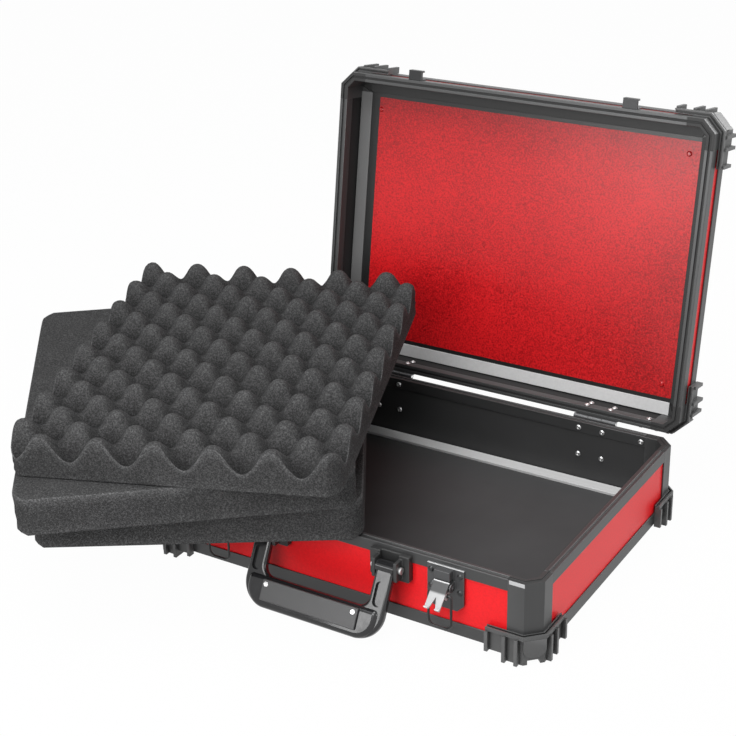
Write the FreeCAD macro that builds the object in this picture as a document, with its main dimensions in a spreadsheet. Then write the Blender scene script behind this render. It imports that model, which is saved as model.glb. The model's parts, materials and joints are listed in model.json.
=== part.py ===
"""Transport case: boarded shell in aluminium rails, hinged lid, draw latches, handle and foam sheets.

The frame stands on the floor: the origin is under the middle of the base, X runs to the right,
Y to the rear (the hinges) and Z up. Lengths are in millimetres. The lid is modelled shut and then
turned open about its hinge line, so that everything on it is sized against the base.
"""
import FreeCAD
import Part
import Sketcher
import math
import os

SIZES = {
    # shell
    "case_width": 434.0,
    "case_depth": 328.0,
    "base_height": 84.5,
    "lid_height": 38.0,
    "foot_height": 9.0,
    "closing_gap": 0.3,
    "open_angle": 99.0,
    "corner_cut": 13.5,
    # rails, boards and skins
    "rail_width": 9.0,
    "rail_wall": 1.6,
    "rail_web": 3.0,
    "rim_height": 12.0,
    "edge_height": 13.4,
    "edge_reach": 14.0,
    "post_reach": 30.5,
    "skin_thickness": 1.2,
    "board_thickness": 5.0,
    "floor_thickness": 3.0,
    # tongue of the base rim, groove and seal of the lid rim
    "tongue_inset": 3.7,
    "tongue_width": 1.6,
    "tongue_height": 1.4,
    "groove_room": 0.4,
    "groove_depth": 2.6,
    "seal_height": 0.9,
    # bright inner strips
    "base_strip_width": 16.0,
    "base_strip_height": 3.0,
    "lid_strip_width": 14.0,
    "strip_thickness": 1.2,
    # ribbed corner guards
    "guard_skin": 2.4,
    "guard_proud": 7.0,
    "guard_lip": 5.0,
    "guard_lip_height": 4.0,
    "guard_height": 22.5,
    "guard_reach": 50.0,
    "guard_wing_drop": 2.5,
    "lip_groove_inset": 1.2,
    "lip_groove_width": 2.2,
    "lip_groove_depth": 2.2,
    "foot_inset": 16.0,
    "rib_near": 16.4,
    "rib_middle": 28.8,
    "rib_width": 3.4,
    "boss_margin": 0.8,
    "boss_proud": 5.4,
    "boss_bottom": 9.0,
    "boss_round": 8.5,
    "arch_width": 12.5,
    "arch_height": 4.6,
    # hinges, placed from the case's ends
    "hinge_inset": 92.5,
    "hinge_width": 48.0,
    "hinge_leaf": 2.0,
    "hinge_setback": 3.2,
    "hinge_start": 3.5,
    "hinge_base_end": 46.0,
    "hinge_lid_end": 27.0,
    "knuckle_radius": 3.0,
    "knuckle_width": 15.4,
    "knuckle_gap": 0.3,
    "hinge_pin_radius": 1.5,
    "pin_clearance": 0.06,
    "seat_clearance": 0.2,
    # rivets and screws
    "rivet_radius": 3.0,
    "rivet_tip": 1.8,
    "rivet_height": 1.4,
    "rivet_spread": 13.5,
    "rivet_upper": 7.0,
    "rivet_lower": 39.0,
    "lid_rivet_lower": 19.0,
    "panel_screw_x": 35.0,
    "panel_screw_y": 41.0,
    # latches
    "fitting_offset": 124.5,
    "latch_width": 38.0,
    "latch_start": 4.0,
    "latch_end": 48.5,
    "latch_plate": 2.0,
    "latch_corner": 7.0,
    "latch_pivot_depth": 21.5,
    "latch_pivot_reach": 7.0,
    "latch_pin_radius": 1.5,
    "ear_thickness": 1.6,
    "ear_radius": 4.5,
    "housing_height": 9.0,
    "housing_reach": 9.0,
    "housing_start": 5.5,
    "lever_width": 16.0,
    "lever_length": 25.0,
    "lever_root": 3.0,
    "lever_sheet": 1.4,
    "lever_face": 4.0,
    "lever_cheek": 1.2,
    "lever_cheek_length": 12.0,
    "lever_notch_width": 7.0,
    "lever_notch_length": 12.0,
    "lever_lip": 2.2,
    "lever_side_gap": 0.4,
    "lever_open": 45.0,
    "bush_arm": 8.0,
    "bush_radius": 2.0,
    "bush_bore_depth": 6.0,
    "bail_wire": 1.2,
    "bail_half_width": 11.8,
    "bail_bend": 2.6,
    "bail_corner": 6.5,
    "bail_slack": 0.8,
    # catches on the lid
    "catch_width": 16.0,
    "catch_start": 1.0,
    "catch_plate_end": 11.5,
    "catch_plate": 1.5,
    "catch_reach": 10.6,
    "catch_shelf": 3.0,
    "catch_lip": 2.0,
    "catch_lip_rise": 4.0,
    # carrying handle
    "bracket_offset": 67.5,
    "bracket_width": 42.0,
    "bracket_start": 4.5,
    "bracket_end": 31.5,
    "bracket_base": 6.0,
    "bracket_reach": 16.0,
    "bracket_ear_width": 27.0,
    "bracket_ear_margin": 3.5,
    "bracket_slot_floor": 2.5,
    "handle_pivot_depth": 17.5,
    "handle_pivot_reach": 10.0,
    "handle_pin_radius": 2.0,
    "handle_pin_head": 3.4,
    "handle_pin_head_height": 2.4,
    "handle_tilt": 28.0,
    "handle_arm_width": 19.0,
    "handle_arm_thickness": 9.0,
    "handle_arm_gap": 0.4,
    "handle_boss_radius": 6.3,
    "handle_length": 71.5,
    "handle_bar_height": 31.0,
    "handle_bar_thickness": 15.0,
    "handle_corner": 26.0,
    "handle_inner_corner": 10.0,
    "handle_arm_round": 3.2,
    "handle_bar_round": 5.0,
    "arm_recess_width": 10.0,
    "arm_recess_round": 4.6,
    "arm_recess_start": 14.0,
    "arm_recess_end": 38.0,
    "arm_recess_depth": 3.0,
    "grip_length": 106.0,
    "grip_top_margin": 2.6,
    "grip_bottom_margin": 7.5,
    "grip_thickness": 2.6,
    "grip_round": 1.0,
    "grip_screw_inset": 4.5,
    "grip_screw_radius": 2.4,
    "grip_screw_height": 1.0,
    # foam sheets, stacked across the front left corner of the base, each placed by its rear corner
    # from the case's rear left corner
    "foam_short": 312.0,
    "foam_long": 414.0,
    "foam_cut": 11.0,
    "foam_gap": 0.3,
    "slab_low_height": 40.0,
    "slab_high_height": 38.0,
    "wave_valley": 16.0,
    "wave_height": 42.0,
    "wave_pitch": 53.9,
    "slab_low_x": 47.0,
    "slab_low_y": 22.4,
    "slab_low_turn": 30.65,
    "slab_high_x": 8.9,
    "slab_high_y": -13.2,
    "slab_high_turn": 37.3,
    "wave_x": 130.6,
    "wave_y": -2.1,
    "wave_turn": 19.9,
}
OVERCUT = 1.0
DIAGONAL = math.sqrt(2.0) - 1.0
HALF_DIAGONAL = math.sqrt(0.5)

doc = FreeCAD.newDocument("transport_case")
sheet = doc.addObject("Spreadsheet::Sheet", "Sizes")
for row, (alias, number) in enumerate(SIZES.items(), start=1):
    sheet.set(f"A{row}", alias)
    sheet.set(f"B{row}", repr(number))
    sheet.setAlias(f"B{row}", alias)
doc.recompute()

pieces = {}
made = {}


class Size:
    """A length worked out from the sheet: the expression that gives it and its present value."""

    def __init__(self, text, value):
        self.text = text
        self.value = value

    def __add__(self, other):
        other = as_size(other)
        return Size(f"({self.text} + {other.text})", self.value + other.value)

    def __sub__(self, other):
        other = as_size(other)
        return Size(f"({self.text} - {other.text})", self.value - other.value)

    def __mul__(self, number):
        number = as_size(number)
        return Size(f"({self.text} * {number.text})", self.value * number.value)

    def __truediv__(self, number):
        number = as_size(number)
        return Size(f"({self.text} / {number.text})", self.value / number.value)

    def __neg__(self):
        return Size(f"(0 - {self.text})", -self.value)

    def __radd__(self, other):
        return as_size(other) + self

    def __rsub__(self, other):
        return as_size(other) - self

    def __rmul__(self, other):
        return self * other


def as_size(number):
    """A plain number as a Size; a Size stays as it is."""
    return number if isinstance(number, Size) else Size(repr(float(number)), float(number))


def size(alias):
    """One cell of the sheet."""
    return Size(f"Sizes.{alias}", float(sheet.get(alias)))


def sine(angle):
    return Size(f"sin({angle.text})", math.sin(math.radians(angle.value)))


def cosine(angle):
    return Size(f"cos({angle.text})", math.cos(math.radians(angle.value)))


def slope_angle(slope):
    return Size(f"atan({slope.text})", math.degrees(math.atan(slope.value)))


def named(kind, name):
    """A new document object with a name of its own."""
    made[name] = made.get(name, 0) + 1
    return doc.addObject(kind, f"{name}_{made[name]}")


def bind(obj, **sizes):
    """Binds properties of an object to sheet expressions."""
    for prop, value in sizes.items():
        obj.setExpression(prop.replace("__", "."), as_size(value).text)


def block(name, x, y, z):
    """A box between pairs of lows and highs."""
    box = named("Part::Box", name)
    bind(box, Length=x[1] - x[0], Width=y[1] - y[0], Height=z[1] - z[0])
    bind(box, Placement__Base__x=x[0], Placement__Base__y=y[0], Placement__Base__z=z[0])
    return box


ROD_TURNS = {
    "X": FreeCAD.Rotation(FreeCAD.Vector(0, 1, 0), 90),
    "Y": FreeCAD.Rotation(FreeCAD.Vector(1, 0, 0), -90),
    "Z": FreeCAD.Rotation(),
}


def rod(name, axis, start, radius, length, tip=None):
    """A round bar, or a cone when it has a tip radius, that runs from start along +axis."""
    bar = named("Part::Cone" if tip else "Part::Cylinder", name)
    bar.Placement = FreeCAD.Placement(FreeCAD.Vector(), ROD_TURNS[axis])
    if tip:
        bind(bar, Radius1=radius, Radius2=tip)
    else:
        bind(bar, Radius=radius)
    bind(bar, Height=length)
    bind(bar, Placement__Base__x=start[0], Placement__Base__y=start[1], Placement__Base__z=start[2])
    return bar


def fused(name, *parts):
    if len(parts) == 1:
        return parts[0]
    whole = named("Part::MultiFuse", name)
    whole.Shapes = list(parts)
    whole.Refine = True
    return whole


def cut(name, body, *tools):
    less = named("Part::Cut", name)
    less.Base = body
    less.Tool = fused(f"{name}_tools", *tools)
    return less


def grouped(name, *parts):
    group = named("Part::Compound", name)
    group.Links = list(parts)
    return group


def mirrored(name, source, normal):
    copy = named("Part::Mirroring", name)
    copy.Source = source
    copy.Normal = normal
    return copy


def both_sides(name, part):
    """A part on the right and its mirror image on the left."""
    return grouped(name, part, mirrored(f"{name}_left", part, (1, 0, 0)))


def four_corners(name, part):
    """A front right part and its images at the other three corners."""
    front = both_sides(f"{name}_front", part)
    return grouped(name, front, mirrored(f"{name}_rear", front, (0, 1, 0)))


PLANES = {"XY": "XY_Plane", "XZ": "XZ_Plane", "YZ": "YZ_Plane"}


def corner_points(outline):
    """The outline's points as (x, y) with each rounded right angle as its two tangent points."""
    points, arcs = [], []
    count = len(outline)
    for index, corner in enumerate(outline):
        if len(corner) == 2:
            points.append(corner)
            continue
        x, y, radius = corner
        before = outline[index - 1]
        after = outline[(index + 1) % count]
        ends = []
        for other in (before, after):
            step_x = as_size(other[0]).value - as_size(x).value
            step_y = as_size(other[1]).value - as_size(y).value
            if abs(step_x) > abs(step_y):
                ends.append((x + radius * math.copysign(1.0, step_x), y))
            else:
                ends.append((x, y + radius * math.copysign(1.0, step_y)))
        arcs.append((len(points), radius))
        points.extend(ends)
    return points, dict(arcs)


def spot(point):
    return FreeCAD.Vector(as_size(point[0]).value, as_size(point[1]).value, 0)


def draw(sketch, outline):
    """Draws a closed outline, every point held by its two coordinates."""
    points, arcs = corner_points(outline)
    first = sketch.GeometryCount
    count = len(points)
    for index, point in enumerate(points):
        start, end = spot(point), spot(points[(index + 1) % count])
        if index in arcs:
            radius = as_size(arcs[index]).value
            before, after = spot(points[index - 1]), spot(points[(index + 2) % count])
            corner = start + (start - before).normalize() * radius
            centre = corner - (start - before).normalize() * radius + (after - end).normalize() * radius
            middle = centre + (corner - centre).normalize() * radius
            sketch.addGeometry(Part.Arc(start, middle, end))
        else:
            sketch.addGeometry(Part.LineSegment(start, end))
    for index, point in enumerate(points):
        geometry = first + index
        following = first + (index + 1) % count
        begin, finish = arc_ends(sketch, geometry, spot(point))
        next_begin, _ = arc_ends(sketch, following, spot(points[(index + 1) % count]))
        sketch.addConstraint(Sketcher.Constraint("Coincident", geometry, finish, following, next_begin))
        for kind, value in (("DistanceX", point[0]), ("DistanceY", point[1])):
            value = as_size(value)
            held = sketch.addConstraint(Sketcher.Constraint(kind, -1, 1, geometry, begin, value.value))
            sketch.setExpression(f"Constraints[{held}]", value.text)
        if index in arcs:
            value = as_size(arcs[index])
            held = sketch.addConstraint(Sketcher.Constraint("Radius", geometry, value.value))
            sketch.setExpression(f"Constraints[{held}]", value.text)


def arc_ends(sketch, geometry, begin):
    """Which end of a piece of geometry lies at begin: a drawn arc may run the other way."""
    start = sketch.getPoint(geometry, 1)
    return (1, 2) if start.distanceToPoint(begin) < 1e-6 else (2, 1)


def prism(name, outline, low, high, plane="XY", hole=None, rounding=None):
    """A body padded from an outline on a main plane, between two heights on its third axis."""
    low, high = as_size(low), as_size(high)
    body = named("PartDesign::Body", name)
    sketch = body.newObject("Sketcher::SketchObject", f"{body.Name}_sketch")
    support = [part for part in body.Origin.OriginFeatures if part.Role == PLANES[plane]][0]
    sketch.AttachmentSupport = [(support, "")]
    sketch.MapMode = "FlatFace"
    # the XZ plane looks along -Y, so there the pad starts at the higher Y
    start = -high if plane == "XZ" else low
    sketch.setExpression("AttachmentOffset.Base.z", start.text)
    draw(sketch, outline)
    if hole:
        draw(sketch, hole)
    pad = body.newObject("PartDesign::Pad", f"{body.Name}_pad")
    pad.Profile = sketch
    pad.setExpression("Length", (high - low).text)
    if rounding is not None:
        doc.recompute()
        fillet = body.newObject("PartDesign::Fillet", f"{body.Name}_fillet")
        fillet.Base = (pad, ["Face1"])
        fillet.UseAllEdges = True
        fillet.setExpression("Radius", rounding.text)
        body.Tip = fillet
    return body


def placed(name, part, place, turn=None, axis=(-1, 0, 0)):
    """A part moved to its place, and turned about its own origin."""
    moved = grouped(name, part)
    if turn is not None:
        moved.Placement = FreeCAD.Placement(
            FreeCAD.Vector(), FreeCAD.Rotation(FreeCAD.Vector(*axis), turn.value))
        bind(moved, Placement__Rotation__Angle=turn)
    bind(moved, Placement__Base__x=place[0], Placement__Base__y=place[1], Placement__Base__z=place[2])
    return moved


def keep(label, part):
    """Names a finished sub-part."""
    part.Label = label
    pieces[label] = part


case_width = size("case_width")
case_depth = size("case_depth")
base_height = size("base_height")
foot_height = size("foot_height")
closing_gap = size("closing_gap")
open_angle = size("open_angle")
corner_cut = size("corner_cut")
rail_width = size("rail_width")
rail_wall = size("rail_wall")
rim_height = size("rim_height")
edge_height = size("edge_height")
post_reach = size("post_reach")
skin_thickness = size("skin_thickness")
board_thickness = size("board_thickness")
fitting_offset = size("fitting_offset")
seat_clearance = size("seat_clearance")

half_width = case_width / 2
half_depth = case_depth / 2
wall_inner = rail_wall + skin_thickness + board_thickness
floor_stack = rail_wall + skin_thickness + size("floor_thickness")
hinge_x = half_width - size("hinge_inset")
hinge_y = half_depth + size("hinge_setback")
hinge_z = base_height + closing_gap / 2
SIDES = ("front", "rear", "left", "right")


def straight(side):
    """Half the length of a straight rail between two corner posts."""
    return (half_width if side in ("front", "rear") else half_depth) - post_reach


def wall_block(name, side, along, inset, heights):
    """A box on one wall, between two insets from the case's outer face; a negative inset is proud."""
    if side == "front":
        return block(name, along, (inset[0] - half_depth, inset[1] - half_depth), heights)
    if side == "rear":
        return block(name, along, (half_depth - inset[1], half_depth - inset[0]), heights)
    if side == "left":
        return block(name, (inset[0] - half_width, inset[1] - half_width), along, heights)
    return block(name, (half_width - inset[1], half_width - inset[0]), along, heights)


def cut_face(inset):
    """The two ends of the 45 degree corner face at an inset, front end first."""
    inset = as_size(inset)
    front = (half_width - corner_cut - inset * DIAGONAL, inset - half_depth)
    end = (half_width - inset, corner_cut + inset * DIAGONAL - half_depth)
    return front, end


def corner_band(outer, inner, reach):
    """A band round the front right corner between two insets."""
    outer, inner = as_size(outer), as_size(inner)
    outer_front, outer_end = cut_face(outer)
    inner_front, inner_end = cut_face(inner)
    return [
        (half_width - reach, outer - half_depth), outer_front, outer_end,
        (half_width - outer, reach - half_depth), (half_width - inner, reach - half_depth),
        inner_end, inner_front, (half_width - reach, inner - half_depth),
    ]


def octagon(inset):
    """The case's whole outline at an inset."""
    front, end = cut_face(inset)
    right = [front, end, (end[0], -end[1]), (front[0], -front[1])]
    return right + [(-x, y) for x, y in reversed(right)]


class Shell:
    """One half of the case; heights are given as depths away from its rim plane."""

    def __init__(self, name, rim, depth, upward):
        self.name = name
        self.rim = rim
        self.depth = depth
        self.upward = upward

    def height(self, depth):
        return self.rim + depth if self.upward else self.rim - depth

    def span(self, start, end):
        ends = (self.height(as_size(start)), self.height(as_size(end)))
        return ends if self.upward else ends[::-1]

    def keep(self, label, part):
        """Keeps a sub-part of this half; what belongs to the lid is turned open about the hinges."""
        if self.upward:
            rise = hinge_z - hinge_z * cosine(open_angle) - hinge_y * -sine(open_angle)
            back = hinge_y - hinge_y * cosine(open_angle) - hinge_z * sine(open_angle)
            part = placed(f"{label}_open", part, (as_size(0), back, rise), open_angle)
        keep(label, part)

    def wall(self, name, side, along, inset, start, end):
        return wall_block(f"{self.name}_{name}", side, along, inset, self.span(start, end))

    def ring(self, name, outline, start, end, **more):
        low, high = self.span(start, end)
        return prism(f"{self.name}_{name}", outline, low, high, **more)


base = Shell("base", base_height, base_height - foot_height, False)
lid = Shell("lid", base_height + closing_gap, size("lid_height"), True)
zero = as_size(0)


def across(side):
    reach = straight(side)
    return (-reach, reach)


def rim_rail(shell, side):
    """An inverted channel that holds the wall boards: tongued on the base, grooved on the lid."""
    run = across(side)
    bar = shell.wall("rim_bar", side, run, (zero, rail_width), zero, rim_height)
    slot = shell.wall("rim_slot", side, run, (rail_wall, wall_inner),
                      size("rail_web"), rim_height + OVERCUT)
    inset = size("tongue_inset")
    if shell.upward:
        room = size("groove_room")
        groove = shell.wall("rim_groove", side, run,
                            (inset - room, inset + size("tongue_width") + room),
                            as_size(-OVERCUT), size("groove_depth"))
        return cut(f"{shell.name}_rim_rail", bar, slot, groove)
    tongue = shell.wall("rim_tongue", side, run, (inset, inset + size("tongue_width")),
                        -size("tongue_height"), OVERCUT)
    return fused(f"{shell.name}_rim_rail", cut("base_rim_channel", bar, slot), tongue)


def edge_rail(shell, side):
    """The angle along the outer edge of the floor or the lid's top."""
    run = across(side)
    flange = shell.wall("edge_flange", side, run, (zero, rail_wall),
                        shell.depth - edge_height, shell.depth)
    foot = shell.wall("edge_foot", side, run, (zero, size("edge_reach")),
                      shell.depth - rail_wall, shell.depth)
    return fused(f"{shell.name}_edge_rail", flange, foot)


def wall_panels(shell):
    """Boards and their coloured skins, standing between the rim rails and the edge rails."""
    top, bottom = size("rail_web"), shell.depth - rail_wall
    skin = (rail_wall, rail_wall + skin_thickness)
    board = (rail_wall + skin_thickness, wall_inner)
    for part, inset in (("skin", skin), ("board", board)):
        walls = {side: shell.wall(part, side, across(side), inset, top, bottom) for side in SIDES}
        shell.keep(f"{shell.name}_front_{part}", walls["front"])
        shell.keep(f"{shell.name}_rear_{part}", walls["rear"])
        shell.keep(f"{shell.name}_end_{part}s", grouped(f"{shell.name}_ends", walls["left"], walls["right"]))


def rails(shell):
    shell.keep(f"{shell.name}_rim_front_rail", rim_rail(shell, "front"))
    shell.keep(f"{shell.name}_rim_rear_rail", rim_rail(shell, "rear"))
    ends = grouped(f"{shell.name}_rim_ends", rim_rail(shell, "left"), rim_rail(shell, "right"))
    shell.keep(f"{shell.name}_rim_end_rails", ends)
    edges = grouped(f"{shell.name}_edges", *[edge_rail(shell, side) for side in SIDES])
    shell.keep(f"{shell.name}_edge_rails", edges)


def corner_posts(shell):
    """The cut corner posts, with the rim's tongue or groove carried round them."""
    post = shell.ring("post", corner_band(0, rail_width, post_reach), 0, shell.depth)
    inset = size("tongue_inset")
    if shell.upward:
        room = size("groove_room")
        track = corner_band(inset - room, inset + size("tongue_width") + room, post_reach + OVERCUT)
        groove = shell.ring("post_groove", track, -OVERCUT, size("groove_depth"))
        post = cut("lid_post_grooved", post, groove)
    else:
        track = corner_band(inset, inset + size("tongue_width"), post_reach)
        tongue = shell.ring("post_tongue", track, -size("tongue_height"), OVERCUT)
        post = fused("base_post_tongued", post, tongue)
    shell.keep(f"{shell.name}_corner_posts", four_corners(f"{shell.name}_posts", post))


def corner_guards(shell):
    """Ribbed moulded guards: wings along both walls, a foot under the corner, a boss on the cut face."""
    skin, proud = size("guard_skin"), size("guard_proud")
    reach, width = size("guard_reach"), size("rib_width")
    lip, groove = size("guard_lip"), size("lip_groove_inset")
    foot_reach = size("rib_middle") + width
    top = shell.depth - size("guard_height")
    wing_end = shell.depth + size("guard_wing_drop")
    foot_end = shell.depth + foot_height
    lip_end = top + size("guard_lip_height")
    solids = [
        shell.ring("guard_wings", corner_band(-skin, 0, reach), top, wing_end),
        shell.ring("guard_lip", corner_band(-lip, 0, reach), top, lip_end),
        shell.ring("guard_foot", corner_band(-skin, size("foot_inset"), foot_reach), shell.depth, foot_end),
    ]
    ribs = ((size("rib_near"), foot_end), (size("rib_middle"), foot_end), (reach - width, wing_end))
    for near, end in ribs:
        far = near + width
        solids.append(shell.wall("guard_rib", "front", (half_width - far, half_width - near),
                                 (-proud, -skin + OVERCUT), lip_end, end))
        solids.append(shell.wall("guard_rib", "right", (near - half_depth, far - half_depth),
                                 (-proud, -skin + OVERCUT), lip_end, end))
    solids.append(guard_boss(shell, lip_end, foot_end - size("boss_bottom")))
    track = corner_band(-groove - size("lip_groove_width"), -groove, reach + OVERCUT)
    tools = [shell.ring("guard_groove", track, top - OVERCUT, top + size("lip_groove_depth"))]
    half = size("arch_width") / 2
    arch = block("guard_arch", (-half, half), (-size("foot_inset"), size("foot_inset") * 2),
                 shell.span(foot_end - size("arch_height"), foot_end + OVERCUT))
    tools.append(on_cut_face("guard_arch_at", arch))
    guard = cut(f"{shell.name}_guard", fused(f"{shell.name}_guard_whole", *solids), *tools)
    shell.keep(f"{shell.name}_corner_guards", four_corners(f"{shell.name}_guards", guard))


def on_cut_face(name, part):
    """A part drawn on the XZ plane, looking along +Y, set against the front right cut face."""
    middle = (half_width - corner_cut / 2, corner_cut / 2 - half_depth, zero)
    return placed(name, part, middle, as_size(45), (0, 0, 1))


def guard_boss(shell, start, end):
    """The raised tongue on the cut face, round at the end next to the floor or the lid's top."""
    proud, corner = size("boss_proud"), size("boss_round")
    half = (corner_cut + proud * (1 - DIAGONAL)) * HALF_DIAGONAL - size("boss_margin")
    near, far = shell.height(start), shell.height(end)
    outline = [(half, near), (-half, near), (-half, far, corner), (half, far, corner)]
    boss = prism(f"{shell.name}_guard_boss", outline, -proud, OVERCUT - size("guard_skin"), plane="XZ")
    return on_cut_face("guard_boss_at", boss)


def base_floor():
    under = base.depth - rail_wall
    base.keep("base_floor_skin", base.ring("floor_skin", octagon(rail_width), under - skin_thickness, under))
    base.keep("base_floor_board", base.ring("floor_board", octagon(rail_width),
                                            base.depth - floor_stack, under - skin_thickness))
    strips = border_strips(base, size("base_strip_width"), size("base_strip_height"))
    base.keep("base_floor_strips", grouped("base_strips", *strips))


def border_strips(shell, width, height):
    """Four flat strips with mitred ends that lie round a shell's floor or top panel."""
    inside = shell.depth - floor_stack
    outer, inner = rail_width, rail_width + width
    above = inside - height
    ends = cut_face(outer)[0][0] - seat_clearance
    short = half_width - inner - seat_clearance
    front = [(-ends, outer - half_depth), (ends, outer - half_depth),
             (short, inner - half_depth), (-short, inner - half_depth)]
    ends = -cut_face(outer)[1][1] - seat_clearance
    short = half_depth - inner - seat_clearance
    right = [(half_width - outer, -ends), (half_width - outer, ends),
             (half_width - inner, short), (half_width - inner, -short)]
    front_strip = shell.ring("front_strip", front, above, inside)
    right_strip = shell.ring("right_strip", right, above, inside)
    rear_strip = mirrored(f"{shell.name}_rear_strip", front_strip, (0, 1, 0))
    left_strip = mirrored(f"{shell.name}_left_strip", right_strip, (1, 0, 0))
    return front_strip, rear_strip, left_strip, right_strip


def lid_top():
    """The lid's coloured top panel, its bright border strips and the seal in the rim groove."""
    inside = lid.depth - floor_stack
    lid.keep("lid_top_panel", lid.ring("top_panel", octagon(rail_width), inside, lid.depth - rail_wall))
    strips = border_strips(lid, size("lid_strip_width"), size("strip_thickness"))
    lid.keep("lid_border_strips", grouped("lid_strips", *strips))
    room, inset, width = size("groove_room"), size("tongue_inset"), size("tongue_width")
    bottom = size("groove_depth")
    lid.keep("lid_seal", lid.ring("seal", octagon(inset - room), bottom - size("seal_height"), bottom,
                                  hole=octagon(inset + width + room)))
    screws = [rod("panel_screw", "Z", (x, y, lid.height(inside) - size("rivet_height")),
                  size("rivet_tip"), size("rivet_height"), tip=size("rivet_radius"))
              for x in (size("panel_screw_x") - half_width, half_width - size("panel_screw_x"))
              for y in (size("panel_screw_y") - half_depth, half_depth - size("panel_screw_y"))]
    lid.keep("lid_panel_screws", grouped("panel_screws", *screws))


def hinge_leaf(shell, end, pad_end, knuckles):
    """One leaf on the rear wall with its knuckles round the hinge line."""
    half = size("hinge_width") / 2
    run = (hinge_x - half, hinge_x + half)
    leaf = size("hinge_leaf")
    solids = [
        shell.wall("hinge_plate", "rear", run, (-leaf, zero), size("hinge_start"), end),
        shell.wall("hinge_pad", "rear", run, (-OVERCUT + zero, rail_wall),
                   rim_height + seat_clearance, pad_end),
    ]
    radius = size("knuckle_radius")
    for low, high in knuckles:
        low, high = hinge_x + low, hinge_x + high
        solids.append(rod("knuckle", "X", (low, hinge_y, hinge_z), radius, high - low))
        neck = (hinge_z - (size("hinge_start") + OVERCUT), hinge_z)
        if shell.upward:
            neck = (hinge_z, hinge_z + size("hinge_start") + OVERCUT)
        solids.append(block("knuckle_neck", (low, high), (half_depth + seat_clearance, half_depth + leaf),
                            neck))
    leaf_solid = fused(f"{shell.name}_leaf", *solids)
    bore = rod("knuckle_bore", "X", (run[0] - OVERCUT, hinge_y, hinge_z),
               size("hinge_pin_radius") + size("pin_clearance"), size("hinge_width") + 2 * OVERCUT)
    bored = cut("leaf_bored", leaf_solid, bore)
    shell.keep(f"hinge_{shell.name}_leaves", both_sides(f"{shell.name}_leaves", bored))


def hinges():
    half, middle = size("hinge_width") / 2, size("knuckle_width") / 2
    gap = size("knuckle_gap")
    outer = [(-half, -middle - gap), (middle + gap, half)]
    hinge_leaf(base, size("hinge_base_end"), size("hinge_base_end"), outer)
    hinge_leaf(lid, size("hinge_lid_end"), lid.depth - edge_height - seat_clearance, [(-middle, middle)])
    pin = rod("hinge_pin", "X", (hinge_x - half, hinge_y, hinge_z), size("hinge_pin_radius"),
              size("hinge_width"))
    keep("hinge_pins", both_sides("hinge_pins", pin))


def rivet(place, towards_front):
    """A low rivet head whose wide end sits at place, on a face of the front or rear wall."""
    wide, tip, height = size("rivet_radius"), size("rivet_tip"), size("rivet_height")
    x, y, z = place
    if towards_front:
        return rod("rivet", "Y", (x, y - height, z), tip, height, tip=wide)
    return rod("rivet", "Y", (x, y, z), wide, height, tip=tip)


def hinge_rivets(shell, lower):
    """Rivet heads inside and outside the rear wall, where the hinge leaves are fixed."""
    heads = []
    for depth, face in ((size("rivet_upper"), rail_width), (lower, wall_inner)):
        for step in (-size("rivet_spread"), size("rivet_spread")):
            x, z = hinge_x + step, shell.height(depth)
            heads.append(rivet((x, half_depth - face, z), True))
            heads.append(rivet((x, half_depth + size("hinge_leaf"), z), False))
    pair = grouped("hinge_rivets", *heads)
    shell.keep(f"{shell.name}_hinge_rivets", both_sides(f"{shell.name}_rivets", pair))


latch_z = base.height(size("latch_pivot_depth"))
latch_y = -half_depth - size("latch_pivot_reach")
ear_inner = size("lever_width") / 2 + size("lever_side_gap")
ear_outer = ear_inner + size("ear_thickness")


def latch_plate():
    """The pressed latch plate with its two ears, the housing above and a pad down to the skin."""
    half = size("latch_width") / 2
    start, end = size("latch_start"), size("latch_end")
    corner = size("latch_corner")
    high, low = base.height(start), base.height(end)
    outline = [(-half, high), (half, high), (half, low + corner), (half - corner, low),
               (corner - half, low), (-half, low + corner)]
    face = -half_depth
    solids = [
        prism("latch_plate", outline, face - size("latch_plate"), face, plane="XZ"),
        block("latch_pad", (corner - half, half - corner), (face - OVERCUT, face + rail_wall),
              (low, base.height(rim_height + seat_clearance))),
    ]
    radius = size("ear_radius")
    for side in (-1, 1):
        ends = sorted((ear_inner * side, ear_outer * side), key=lambda value: value.value)
        solids.append(block("latch_ear", ends, (latch_y, face - size("latch_plate") + OVERCUT / 2),
                            (latch_z - radius, latch_z + radius)))
        solids.append(rod("latch_ear_round", "X", (ends[0], latch_y, latch_z), radius, size("ear_thickness")))
    wide = size("lever_width") / 2
    housing_top = base.height(size("housing_start"))
    solids.append(block("latch_housing", (-wide, wide), (face - size("housing_reach"), face - OVERCUT),
                        (housing_top - size("housing_height"), housing_top)))
    bore = rod("latch_bore", "X", (-ear_outer - OVERCUT, latch_y, latch_z),
               size("latch_pin_radius") + size("pin_clearance"), ear_outer * 2 + 2 * OVERCUT)
    return cut("latch_plate_bored", fused("latch_plate_whole", *solids), bore)


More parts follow.
